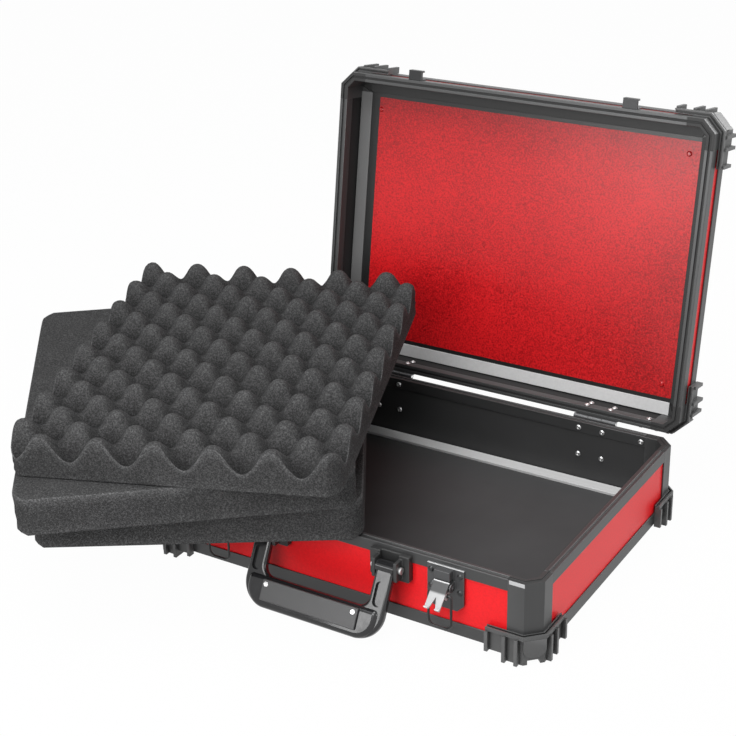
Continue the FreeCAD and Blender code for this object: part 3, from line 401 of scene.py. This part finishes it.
def anodised(name, along, depth_below=None):
    """Dark anodised extrusion: draw lines along its length, paler sharp edges, painted shade in crevices, a
    painted glint near the right front post's top when it runs upright, and a dark cap if it has one.
    """
    look, tone = Finish(name), colours()
    place = look.place()
    stretch = {"x": (12.0, 900.0, 900.0), "y": (900.0, 12.0, 900.0), "z": (900.0, 900.0, 12.0)}[along]
    lines = look.grain(place * stretch, 1.0, 3.0, 0.6)
    smear = look.grain(place, 22.0, 3.0)
    edges = look.node("ShaderNodeNewGeometry", output="Pointiness")
    edge_paleness = look.span(edges, 0.52, 0.62)
    base = look.blend(shade(tone.rail, 0.82), shade(tone.rail, 1.2), lines * 0.6 + smear * 0.4)
    base = look.blend(base, shade(tone.rail, 2.6), edge_paleness * 0.55)
    # Painted shade: the rail is darkened in its crevices, where shade falls.
    base = look.blend(shade(tone.rail, 0.25), base, look.crevice_shade_factor(0.004))
    if along == "z" and depth_below is not None:
        x, y, z = (look.axis(place, index) for index in range(3))
        size = sizes()
        # Painted highlight: a pale glint on the right front post near its top.
        glint = (x > size.glint_start) * (x < size.glint_stop) * (y < -size.glint_face)
        glint = glint * (z > size.rim - size.glint_height)
        base = look.blend(base, shade(tone.bright, 0.6), glint)
    metallic = 0.6
    rough = lines * 0.14 + 0.36
    if depth_below is not None:
        cap = depth_below(look, place) < 0.0002
        base = look.blend(base, tone.rubber, cap)
        metallic = (1.0 - cap) * 0.6
        rough = rough + cap * 0.2
    return look.surface({
        "Base Color": base,
        "Metallic": metallic,
        "Roughness": rough,
        "Normal": look.bump(lines, 0.08, 0.0001),
    })


def base_depth(look, place):
    """Depth of a point below the base's rim."""
    return sizes().rim - look.axis(place, 2)


def lid_shut(look, place):
    """Where a point of the open lid lies while the lid is shut."""
    return look.node("ShaderNodeVectorRotate", {"rotation_type": "X_AXIS"},
                     {"Vector": place, "Center": HINGE, "Angle": OPEN_ANGLE})


def lid_depth(look, place):
    """Depth of a point into the lid from its rim, while the lid stands open."""
    return look.axis(lid_shut(look, place), 2) - (sizes().rim + sizes().gap)


def strip_shade_masks(look, place):
    """Painted shade masks of the lid's strips: black at the front and the right end, grey at the left end,
    where the strips mirror the lid's dark inside.
    """
    shut = lid_shut(look, place)
    x, y = look.axis(shut, 0), look.axis(shut, 1)
    size = sizes()
    right = x > size.width / 2 - size.strip_reach
    front = y < size.strip_reach - size.depth / 2
    corner = (x + size.width / 2) < (size.depth / 2 - y)
    grey = (x < size.strip_reach - size.width / 2) * corner
    return look.node("ShaderNodeMath", {"operation": "MAXIMUM"}, {0: right, 1: front}), grey


def bright_aluminium(name, along, shade_masks=None):
    """Drawn aluminium with lines along it, and painted shade in black and grey where it is given masks for
    it.
    """
    look, tone = Finish(name), colours()
    place = look.place()
    stretch = {"x": (8.0, 1200.0, 1200.0), "z": (1200.0, 1200.0, 8.0), "all": (300.0, 300.0, 300.0)}[along]
    lines = look.grain(place * stretch, 1.0, 3.0, 0.6)
    base = look.blend(shade(tone.strip, 0.82), tone.strip, lines)
    if shade_masks is not None:
        # Painted shade: grey and black stand in for the dark that the strips mirror.
        black, grey = shade_masks(look, place)
        base = look.blend(base, shade(tone.strip, 0.2), grey)
        base = look.blend(base, tone.rubber, black)
    return look.surface({
        "Base Color": base,
        "Metallic": 0.15,
        "Roughness": lines * 0.15 + 0.45,
        "Normal": look.bump(lines, 0.08, 0.0001),
    })


def moulded(name, tint, roughness, texture=0.25):
    """Moulded plastic with a fine spark-eroded texture, paler sharp edges and painted shade darkening its
    crevices.
    """
    look = Finish(name)
    place = look.place()
    fine = look.grain(place, 1800.0, 2.0)
    broad = look.grain(place, 35.0, 3.0)
    edges = look.node("ShaderNodeNewGeometry", output="Pointiness")
    edge_pallor = look.span(edges, 0.52, 0.62)
    base = look.blend(shade(tint, 0.85), shade(tint, 1.15), broad)
    base = look.blend(base, shade(tint, 2.0), edge_pallor * 0.5)
    # Painted shade: the plastic is darkened in its crevices, where shade falls.
    base = look.blend(shade(tint, 0.25), base, look.crevice_shade_factor(0.006))
    return look.surface({
        "Base Color": base,
        "Roughness": fine * 0.12 + roughness,
        "Specular IOR Level": 0.5,
        "Normal": look.bump(fine, texture, 0.00012),
    })


def polished_black(name):
    """Polished black moulding under a clear gloss, with faint handling marks."""
    look, tone = Finish(name), colours()
    place = look.place()
    marks = look.grain(place, 60.0, 5.0, 0.7)
    base = look.blend(shade(tone.gloss, 0.8), shade(tone.gloss, 1.3), marks)
    return look.surface({
        "Base Color": base,
        "Roughness": look.span(marks, 0.4, 0.75, 0.1, 0.2),
        "Specular IOR Level": 0.35,
        "Coat Weight": 0.2,
        "Coat Roughness": 0.06,
        "Normal": look.bump(marks, 0.03, 0.0002),
    })


def coated_steel(name, tint, metallic, roughness, highlight_above=None, shade_above=None):
    """Pressed steel under a thin coat: faint peel, paler sharp edges, and where asked for, a painted
    highlight along the top edge and a painted shade over the upper part.
    """
    look = Finish(name)
    place = look.place()
    peel = look.grain(place, 700.0, 3.0)
    broad = look.grain(place, 60.0, 2.0)
    edges = look.node("ShaderNodeNewGeometry", output="Pointiness")
    edge_pallor = look.span(edges, 0.52, 0.6)
    base = look.blend(shade(tint, 0.85), shade(tint, 1.15), broad)
    base = look.blend(base, shade(tint, 1.8), edge_pallor * 0.6)
    height = look.axis(place, 2)
    # Painted shade: the upper part is darkened where the plated lever mirrors dark.
    if shade_above is not None:
        upper = look.span(height, shade_above, shade_above + 0.002)
        base = look.blend(base, shade(colours().plate, 0.6), upper)
    # Painted highlight: a pale line along the top edge, where the edge catches the light.
    if highlight_above is not None:
        base = look.blend(base, shade(colours().bright, 0.5), height > highlight_above)
    return look.surface({
        "Base Color": base,
        "Metallic": metallic,
        "Roughness": peel * 0.12 + roughness,
        "Normal": look.bump(peel, 0.05, 0.00003),
    })


def open_cell_foam(name):
    """Charcoal foam: pale cell walls, dark pores about a millimetre wide, and painted light and shade from
    the sheet: darker in the hollows, paler on the crests and along the cut edges.
    """
    look, tone = Finish(name), colours()
    place = look.place()
    cells = look.node("ShaderNodeTexVoronoi", {"feature": "DISTANCE_TO_EDGE"},
                      {"Vector": place, "Scale": 520.0})
    pores = look.grain(place, 560.0, 3.0, 0.7)
    patch = look.grain(place, 40.0, 3.0)
    walls = look.span(cells, 0.0, 0.22, 1.0, 0.0)
    light = look.span(pores + walls * 0.14 + patch * 0.12, 0.38, 0.9)
    base = look.node("ShaderNodeValToRGB", {"stops": [
        (0.0, shade(tone.foam, 0.6)), (0.45, shade(tone.foam, 0.95)), (1.0, shade(tone.foam, 1.9))]},
        {0: light})
    # Painted light and shade, read from the sheet: pale crests and cut edges, dark hollows.
    rise = look.node("ShaderNodeAttribute", {"attribute_name": "lightness"}, output="Fac")
    return look.surface({
        "Base Color": base * (rise + 1.0),
        "Roughness": 0.95,
        "Specular IOR Level": 0.05,
        "Normal": look.bump(pores + walls * 0.3, 0.5, 0.0006),
    })


def soften(node, width, segments=2, material=None):
    """Rounds a solid's edges and gives it a finish."""
    obj = frame["nodes"][node]
    weld = obj.modifiers.new("Weld", "WELD")
    weld.merge_threshold = 0.00001
    bevel = obj.modifiers.new("Round", "BEVEL")
    bevel.width = width
    bevel.segments = segments
    bevel.limit_method = "ANGLE"
    bevel.angle_limit = math.radians(38.0)
    bevel.use_clamp_overlap = True
    bevel.harden_normals = False
    normals = obj.modifiers.new("Normals", "WEIGHTED_NORMAL")
    normals.weight = 80
    normals.keep_sharp = True
    dress(obj, material)


def dress(obj, material):
    obj.data.materials.clear()
    obj.data.materials.append(material)


def piece(name, verts, faces, body, material, smooth=True, nodes=()):
    """A new mesh piece that rides on a body and may stand for solids."""
    mesh = bpy.data.meshes.new(name)
    mesh.from_pydata([tuple(vert) for vert in verts], [], faces)
    mesh.validate()
    if smooth:
        mesh.polygons.foreach_set("use_smooth", [True] * len(mesh.polygons))
    mesh.update()
    obj = bpy.data.objects.new(name, mesh)
    bpy.context.scene.collection.objects.link(obj)
    mesh.materials.append(material)
    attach(obj, body)
    if nodes:
        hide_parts(*nodes)
    return obj


def turned(profile, spot, axis, segments=24, socket=None):
    """A turned head: (radius, height) pairs spun round an axis at a spot; socket radii become six-sided."""
    spin = Vector(axis).normalized().to_track_quat("Z", "Y").to_matrix()
    verts, faces = [], []
    for index, (radius, height) in enumerate(profile):
        for step in range(segments):
            around = 2 * math.pi * step / segments
            reach = radius
            if socket and index in socket:
                sixth = (around % (math.pi / 3)) - math.pi / 6
                reach = radius * math.cos(math.pi / 6) / math.cos(sixth)
            local = Vector((reach * math.cos(around), reach * math.sin(around), height))
            verts.append(Vector(spot) + spin @ local)
    for row in range(len(profile) - 1):
        for step in range(segments):
            one, two = row * segments + step, row * segments + (step + 1) % segments
            faces.append((one, two, two + segments, one + segments))
    faces.append(tuple(range(segments))[::-1])
    last = (len(profile) - 1) * segments
    faces.append(tuple(range(last, last + segments)))
    return verts, faces


def joined(parts):
    """Several vertex and face lists as one."""
    verts, faces = [], []
    for more_verts, more_faces in parts:
        start = len(verts)
        verts.extend(more_verts)
        faces.extend(tuple(index + start for index in face) for face in more_faces)
    return verts, faces


def lid_point(x, y, z):
    """A point of the shut lid carried to where the lid stands open."""
    out, up = y - HINGE.y, z - HINGE.z
    cos, sin = math.cos(OPEN_ANGLE), math.sin(OPEN_ANGLE)
    return Vector((x, HINGE.y + out * cos + up * sin, HINGE.z - out * sin + up * cos))


def lid_direction(x, y, z):
    cos, sin = math.cos(OPEN_ANGLE), math.sin(OPEN_ANGLE)
    return Vector((x, y * cos + z * sin, z * cos - y * sin))


def rivet_profile(radius, height):
    """A domed rivet head with a shallow dimple where the mandrel broke off."""
    steps = ((1.0, 0.0), (1.0, 0.16), (0.95, 0.34), (0.82, 0.62), (0.64, 0.84), (0.46, 0.96), (0.36, 0.98),
             (0.3, 0.9), (0.27, 0.62), (0.1, 0.56))
    return [(radius * across, height * up) for across, up in steps]


class CASE_OT_studio(bpy.types.Operator):
    """Makes the camera, the lights, the white surround and the floor"""
    bl_idname = "case.studio"
    bl_label = "Studio"

    def execute(self, context):
        settings = context.scene.case_studio
        context.scene.view_settings.view_transform = "Standard"
        self.camera(context, settings)
        self.lights(settings)
        self.surround(context, settings)
        return {"FINISHED"}

    def camera(self, context, settings):
        az, el, roll = settings.azimuth, settings.elevation, settings.roll
        back = Vector((math.sin(az) * math.cos(el), -math.cos(az) * math.cos(el), math.sin(el)))
        right = Vector((math.cos(az), math.sin(az), 0.0))
        up = back.cross(right)
        tilted = math.cos(roll) * right + math.sin(roll) * up
        risen = math.cos(roll) * up - math.sin(roll) * right
        data = bpy.data.cameras.new("camera")
        data.lens = settings.lens
        data.sensor_width = 36.0
        data.clip_start = 0.01
        data.clip_end = 100.0
        eye = bpy.data.objects.new("camera", data)
        turn = Matrix((tilted, risen, back)).transposed().to_4x4()
        eye.matrix_world = Matrix.Translation(Vector(settings.target) + back * settings.distance) @ turn
        context.scene.collection.objects.link(eye)
        context.scene.camera = eye

    def lights(self, settings):
        for name, spot, aim, extent in SOFTBOXES:
            self.softbox(name, spot, aim, extent, getattr(settings, f"{name}_power"))

    def softbox(self, name, spot, aim, extent, watts):
        data = bpy.data.lights.new(name, "AREA")
        data.shape = "RECTANGLE"
        data.size, data.size_y = extent
        data.energy = watts
        lamp = bpy.data.objects.new(name, data)
        lamp.location = spot
        lamp.rotation_euler = (Vector(aim) - Vector(spot)).to_track_quat("-Z", "Y").to_euler()
        lamp.visible_camera = False
        bpy.context.scene.collection.objects.link(lamp)

    def surround(self, context, settings):
        world = bpy.data.worlds.new("surround")
        context.scene.world = world
        air = Finish("surround", world)
        level = air.seen_plainly() * (1.0 - settings.ambient) + settings.ambient
        light = air.node("ShaderNodeBackground", None, {"Color": (1.0, 1.0, 1.0), "Strength": level})
        air.end("ShaderNodeOutputWorld", light)

        look = Finish("white_floor")
        matte = look.node("ShaderNodeBsdfDiffuse", None, {"Color": (settings.floor_tone,) * 3})
        glow = look.node("ShaderNodeEmission", None, {"Color": (1.0, 1.0, 1.0), "Strength": 1.0})
        white = look.seen_plainly() * settings.floor_white
        mixed = look.node("ShaderNodeMixShader", None, {0: white, 1: matte, 2: glow})
        look.end("ShaderNodeOutputMaterial", mixed)
        mesh = bpy.data.meshes.new("floor")
        reach = FLOOR_REACH
        mesh.from_pydata([(-reach, -reach, 0), (reach, -reach, 0), (reach, reach, 0), (-reach, reach, 0)],
                         [], [(0, 1, 2, 3)])
        mesh.materials.append(look.material)
        floor = bpy.data.objects.new("floor", mesh)
        floor.location.z = -FLOOR_DROP
        bpy.context.scene.collection.objects.link(floor)


class CASE_OT_shell(bpy.types.Operator):
    """Finishes the walls, boards, rails, posts and strips of both halves"""
    bl_idname = "case.shell"
    bl_label = "Shell"

    def execute(self, context):
        edge = sizes().edge
        outer = red_laminate("red_outer", depth=1.05, fleck=0.2, roughness=0.3, grain_depth=0.0001,
                             gloss=0.2)
        inner = red_laminate("red_inner", depth=0.78, fleck=1.0, roughness=0.24, grain_depth=0.0003,
                             gloss=0.5, border=lid_shade_band)
        # Painted shade: the lid's boards get a darker copy of the same lining, as the lid's inside gets
        # less light.
        lid_shaded_lining = shade(colours().lining, 0.4)
        linings = {"base": black_lining("base_lining", colours().lining, roughness=0.5, gloss=0.25),
                   "lid": black_lining("lid_lining", lid_shaded_lining, roughness=0.55, gloss=0.2)}
        # Painted light: the floor board gets a lighter copy of the same lining, as it gets more light.
        floor = black_lining("floor_lining", shade(colours().lining, 1.6), roughness=0.7, gloss=0.05)
        rails_x = anodised("rail_x", "x")
        rails_y = anodised("rail_y", "y")
        lid_ends = anodised("rail_lid_ends", "z")
        for half in ("base", "lid"):
            for part in ("front_skin", "rear_skin", "end_skins"):
                dress(frame["nodes"][f"{half}_{part}"], outer)
            for part in ("front_board", "rear_board", "end_boards"):
                dress(frame["nodes"][f"{half}_{part}"], linings[half])
            soften(f"{half}_rim_front_rail", edge, material=rails_x)
            soften(f"{half}_rim_rear_rail", edge, material=rails_x)
            soften(f"{half}_rim_end_rails", edge, material=rails_y if half == "base" else lid_ends)
            soften(f"{half}_edge_rails", edge, material=rails_x)
        soften("base_corner_posts", edge, material=anodised("base_post", "z", base_depth))
        soften("lid_corner_posts", edge, material=anodised("lid_post", "y", lid_depth))
        dress(frame["nodes"]["base_floor_board"], floor)
        dress(frame["nodes"]["base_floor_skin"], outer)
        dress(frame["nodes"]["lid_top_panel"], inner)
        soften("base_floor_strips", edge * 0.6, material=bright_aluminium("floor_strip", "x"))
        soften("lid_border_strips", edge * 0.6, material=bright_aluminium("lid_strip", "all", strip_shade_masks))
        dress(frame["nodes"]["lid_seal"], moulded("seal_rubber", colours().rubber, 0.6))
        return {"FINISHED"}


class CASE_OT_guards(bpy.types.Operator):
    """Finishes the ribbed corner guards"""
    bl_idname = "case.guards"
    bl_label = "Corner guards"

    def execute(self, context):
        plastic = moulded("guard_plastic", colours().guard, 0.42)
        soften("base_corner_guards", sizes().guard_edge, 3, plastic)
        soften("lid_corner_guards", sizes().guard_edge, 3, plastic)
        return {"FINISHED"}


class CASE_OT_fittings(bpy.types.Operator):
    """Finishes the hinges, latches, catches and handle brackets"""
    bl_idname = "case.fittings"
    bl_label = "Fittings"

    def execute(self, context):
        tone, edge = colours(), sizes().edge
        plate_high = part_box("latch_plate_right")[1]
        lever_low, lever_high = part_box("latch_lever_right")
        # Painted shade darkens the lever above this height.
        middle = lever_low.z + (lever_high.z - lever_low.z) * LEVER_SHADE_BREAK
        leaf = coated_steel("leaf_steel", tone.plate, 0.6, 0.34)
        # Painted highlight along the latch plate's top edge.
        plate = coated_steel("plate_steel", tone.plate, 0.6, 0.34, plate_high.z - PLATE_HIGHLIGHT_DEPTH)
        plated = shade(tone.bright, 0.36)
        lever = coated_steel("lever_steel", plated, 0.3, 0.4, lever_high.z - LEVER_HIGHLIGHT_DEPTH, middle)
        dark = coated_steel("dark_steel", shade(tone.plate, 0.35), 0.5, 0.3)
        bright = coated_steel("bright_steel", tone.bright, 1.0, 0.1)
        block = moulded("bracket_plastic", shade(tone.guard, 0.3), 0.36)
        for node in ("hinge_base_leaves", "hinge_lid_leaves"):
            soften(node, edge, material=leaf)
        for node in ("latch_plate_left", "latch_plate_right"):
            soften(node, edge, 3, plate)
        for node in ("latch_lever_left", "latch_lever_right"):
            soften(node, edge * 0.7, 3, lever)
        for node in ("latch_bush_left", "latch_bush_right", "latch_bail_left", "latch_bail_right"):
            dress(frame["nodes"][node], dark)
        soften("lid_catches", edge, 3, dark)
        soften("handle_brackets", sizes().guard_edge, 3, block)
        soften("handle_pins", edge * 1.2, 3, coated_steel("pin_steel", tone.rivet, 0.8, 0.3))
        for node in ("hinge_pins", "latch_pins"):
            dress(frame["nodes"][node], bright)
        return {"FINISHED"}


class CASE_OT_fasteners(bpy.types.Operator):
    """Makes the rivet and screw heads"""
    bl_idname = "case.fasteners"
    bl_label = "Rivets and screws"

    def execute(self, context):
        tone, size = colours(), sizes()
        steel = coated_steel("rivet_steel", tone.rivet, 0.9, 0.28)
        dome = rivet_profile(size.rivet_radius, size.rivet_height)
        half_depth = size.depth / 2
        hinge_x = size.width / 2 - size.hinge_inset
        steps = (-size.rivet_spread, size.rivet_spread)
        across = [side * (hinge_x + step) for side in (-1, 1) for step in steps]
        heads = {"base": [], "lid": []}
        for half, lower in (("base", size.base_rivet), ("lid", size.lid_rivet)):
            for depth, face in ((size.rim_rivet, size.rail_width), (lower, size.wall_inner)):
                for x in across:
                    heads[half].append((x, half_depth - face, depth, -1))
                    heads[half].append((x, half_depth + size.hinge_leaf, depth, 1))
            heads[half].append((size.end_rivet, half_depth - size.rail_width, size.rim_rivet, -1))
        self.rivets("base_rivets", "base", heads["base"], dome, steel, "base_hinge_rivets")
        self.rivets("lid_rivets", "lid", heads["lid"], dome, steel, "lid_hinge_rivets")
        painted = red_laminate("painted_screw", depth=0.6, fleck=0.5, roughness=0.2, grain_depth=0.0001,
                               gloss=0.6)
        soften("lid_panel_screws", size.edge, 3, painted)
        soften("latch_rivets", size.edge, 3, coated_steel("dark_rivet", shade(tone.plate, 0.6), 0.7, 0.3))
        return {"FINISHED"}

    def rivets(self, name, half, heads, dome, steel, node):
        size, parts = sizes(), []
        for x, y, depth, way in heads:
            if half == "lid":
                spot = lid_point(x, y, size.rim + size.gap + depth)
                parts.append(turned(dome, spot, lid_direction(0, way, 0)))
            else:
                parts.append(turned(dome, (x, y, size.rim - depth), (0, way, 0)))
        verts, faces = joined(parts)
        piece(name, verts, faces, half, steel, nodes=(node,))


class CASE_OT_handle(bpy.types.Operator):
    """Finishes the carrying handle and its grip panel"""
    bl_idname = "case.handle"
    bl_label = "Handle"

    def execute(self, context):
        tone, edge = colours(), sizes().edge
        dress(frame["nodes"]["handle_frame"], polished_black("polished_black"))
        soften("handle_grip", edge * 2.0, 4, moulded("grip_satin", tone.grip, 0.3, 0.1))
        soften("handle_screws", edge * 0.6, 2, coated_steel("screw_steel", tone.rivet, 1.0, 0.2))
        return {"FINISHED"}


class CASE_OT_foam(bpy.types.Operator):
    """Makes the two flat foam slabs and the convoluted sheet on top"""
    bl_idname = "case.foam"
    bl_label = "Foam sheets"

    def execute(self, context):
        foam = context.scene.case_foam
        grain = open_cell_foam("open_cell_foam")
        seat = Matrix.Translation(foam.seat) @ Matrix.Rotation(foam.lean, 4, "X")
        for key, name, thick, cells in (("low", "bottom", foam.low_thick, foam.slab_cells),
                                        ("high", "middle", foam.high_thick, foam.slab_cells),
                                        ("wave", "wave", None, foam.wave_cells)):
            shift = Matrix.Translation(getattr(foam, f"{key}_place"))
            move = seat @ shift @ Matrix.Rotation(getattr(foam, f"{key}_turn"), 4, "Z")
            node = f"foam_{name}_sheet" if thick is None else f"foam_{name}_slab"
            self.sheet(f"foam_{key}_piece", node, f"foam_{name}", move, thick, cells, grain)
        return {"FINISHED"}

    def plan(self, across, along, inset):
        """A point of the sheet's plan: a rectangle with soft cut corners, drawn in by an inset."""
        foam = bpy.context.scene.case_foam
        half_long = foam.long / 2 - inset
        y = along * half_long
        reach = foam.cut - CUT_DRAW * inset - (half_long - abs(y))
        soft = foam.corner_soft
        notch = 0.5 * (reach + math.sqrt(reach * reach + soft * soft))
        return across * (foam.short / 2 - inset - notch), y

    def crest(self, x, y):
        """Height of the convoluted top."""
        foam = bpy.context.scene.case_foam
        middle, swing = (foam.peak + foam.valley) / 2, (foam.peak - foam.valley) / 2
        turn = 2 * math.pi / foam.pitch
        wave = math.sin(turn * x) * math.sin(turn * y)
        if wave < 0:
            wave *= 1 + foam.fullness * (1 - wave * wave)
        return middle - swing * wave

    def sheet(self, name, node, body, move, thick, cells, material):
        """Lofts a sheet: its top, its rounded edges and sides, and its underside."""
        foam = bpy.context.scene.case_foam
        rows = round(cells * foam.long / foam.short)
        soft = foam.edge * (0.6 if thick else 0.4)

        def top(x, y):
            if thick is None:
                return self.crest(x, y)
            spot = Vector((x * SLAB_DIP_SCALE, y * SLAB_DIP_SCALE, thick * 400))
            return thick - SLAB_DIP * (0.5 + 0.5 * noise.noise(spot))

        def dip_shade(x, y):
            """Painted shade: how much darker than a crest the foam is where it dips, as the hollows lie in
            shade; the crests get painted light.
            """
            if thick is None:
                rise = (top(x, y) - foam.valley) / (foam.peak - foam.valley)
                return foam.crest_light - foam.hollow_shade * (1 - rise) ** 1.3
            return 0.0

        verts, faces, light_paint = [], [], []
        columns = cells + 1

        def grid(height, inset, tone):
            for row in range(rows + 1):
                for column in range(columns):
                    x, y = self.plan(2 * column / cells - 1, 2 * row / rows - 1, inset)
                    verts.append((x, y, height(x, y)))
                    light_paint.append(tone(x, y))

        border = [(column, 0) for column in range(cells)]
        border += [(cells, row) for row in range(rows)]
        border += [(column, rows) for column in range(cells, 0, -1)]
        border += [(0, row) for row in range(rows, 0, -1)]

        def ring(inset, height, tone):
            start = len(verts)
            for column, row in border:
                x, y = self.plan(2 * column / cells - 1, 2 * row / rows - 1, inset)
                verts.append((x, y, height(x, y)))
                light_paint.append(tone)
            return start

        grid(top, soft, dip_shade)
        for row in range(rows):
            for column in range(cells):
                one = row * columns + column
                faces.append((one, one + 1, one + columns + 1, one + columns))
        loops = [[row * columns + column for column, row in border]]
        for degrees in EDGE_DEGREES:
            inset = soft * (1 - math.sin(math.radians(degrees)))
            drop = soft * (1 - math.cos(math.radians(degrees)))
            # Painted highlight along the rounded top edge.
            start = ring(inset, lambda x, y, drop=drop: top(x, y) - drop, foam.edge_highlight)
            loops.append(list(range(start, start + len(border))))
        for level_share in SIDE_SHARES:
            def level(x, y, part=level_share):
                return soft + (top(x, y) - 2 * soft) * part

            start = ring(SIDE_DIP * (0.5 + 0.5 * math.sin(level_share * 9)), level, 0.0)
            loops.append(list(range(start, start + len(border))))
        for degrees in reversed(EDGE_DEGREES):
            inset = soft * (1 - math.sin(math.radians(degrees)))
            rise = soft * (1 - math.cos(math.radians(degrees)))
            # Painted highlight, half as strong, along the rounded bottom edge.
            start = ring(inset, lambda x, y, rise=rise: rise, foam.edge_highlight / 2)
            loops.append(list(range(start, start + len(border))))
        under = len(verts)
        grid(lambda x, y: 0.0, soft, lambda x, y: 0.0)
        for row in range(rows):
            for column in range(cells):
                one = under + row * columns + column
                faces.append((one, one + columns, one + columns + 1, one + 1))
        loops.append([under + row * columns + column for column, row in border])
        count = len(border)
        for upper, lower in zip(loops, loops[1:]):
            for step in range(count):
                after = (step + 1) % count
                faces.append((upper[step], lower[step], lower[after], upper[after]))
        placed = [move @ Vector(vert) for vert in verts]
        sheet = piece(name, placed, faces, body, material, nodes=(node,))
        sheet.data.attributes.new("lightness", "FLOAT", "POINT").data.foreach_set("value", light_paint)


STEPS = (CASE_OT_studio, CASE_OT_shell, CASE_OT_guards, CASE_OT_fittings, CASE_OT_fasteners, CASE_OT_handle,
         CASE_OT_foam)


class CASE_PT_panel(bpy.types.Panel):
    """Lists the case's steps and settings"""
    bl_idname = "CASE_PT_panel"
    bl_label = "Transport case"
    bl_space_type = "VIEW_3D"
    bl_region_type = "UI"
    bl_category = "Transport case"

    def draw(self, context):
        for step in STEPS:
            self.layout.operator(step.bl_idname)
        for group in ("case_colours", "case_sizes", "case_foam", "case_studio"):
            settings = getattr(context.scene, group)
            box = self.layout.box()
            for key in settings.__annotations__:
                box.prop(settings, key)


GROUPS = (("case_colours", CaseColours), ("case_sizes", CaseSizes), ("case_foam", FoamSizes),
          ("case_studio", StudioSettings))


def register():
    for name, group in GROUPS:
        bpy.utils.register_class(group)
        setattr(bpy.types.Scene, name, PointerProperty(type=group))
    for step in STEPS:
        bpy.utils.register_class(step)
    bpy.utils.register_class(CASE_PT_panel)


def unregister():
    bpy.utils.unregister_class(CASE_PT_panel)
    for step in reversed(STEPS):
        bpy.utils.unregister_class(step)
    for name, group in reversed(GROUPS):
        delattr(bpy.types.Scene, name)
        bpy.utils.unregister_class(group)


def main():
    register()
    bpy.ops.case.studio()
    bpy.ops.case.shell()
    bpy.ops.case.guards()
    bpy.ops.case.fittings()
    bpy.ops.case.fasteners()
    bpy.ops.case.handle()
    bpy.ops.case.foam()


if __name__ == "__main__":
    main()
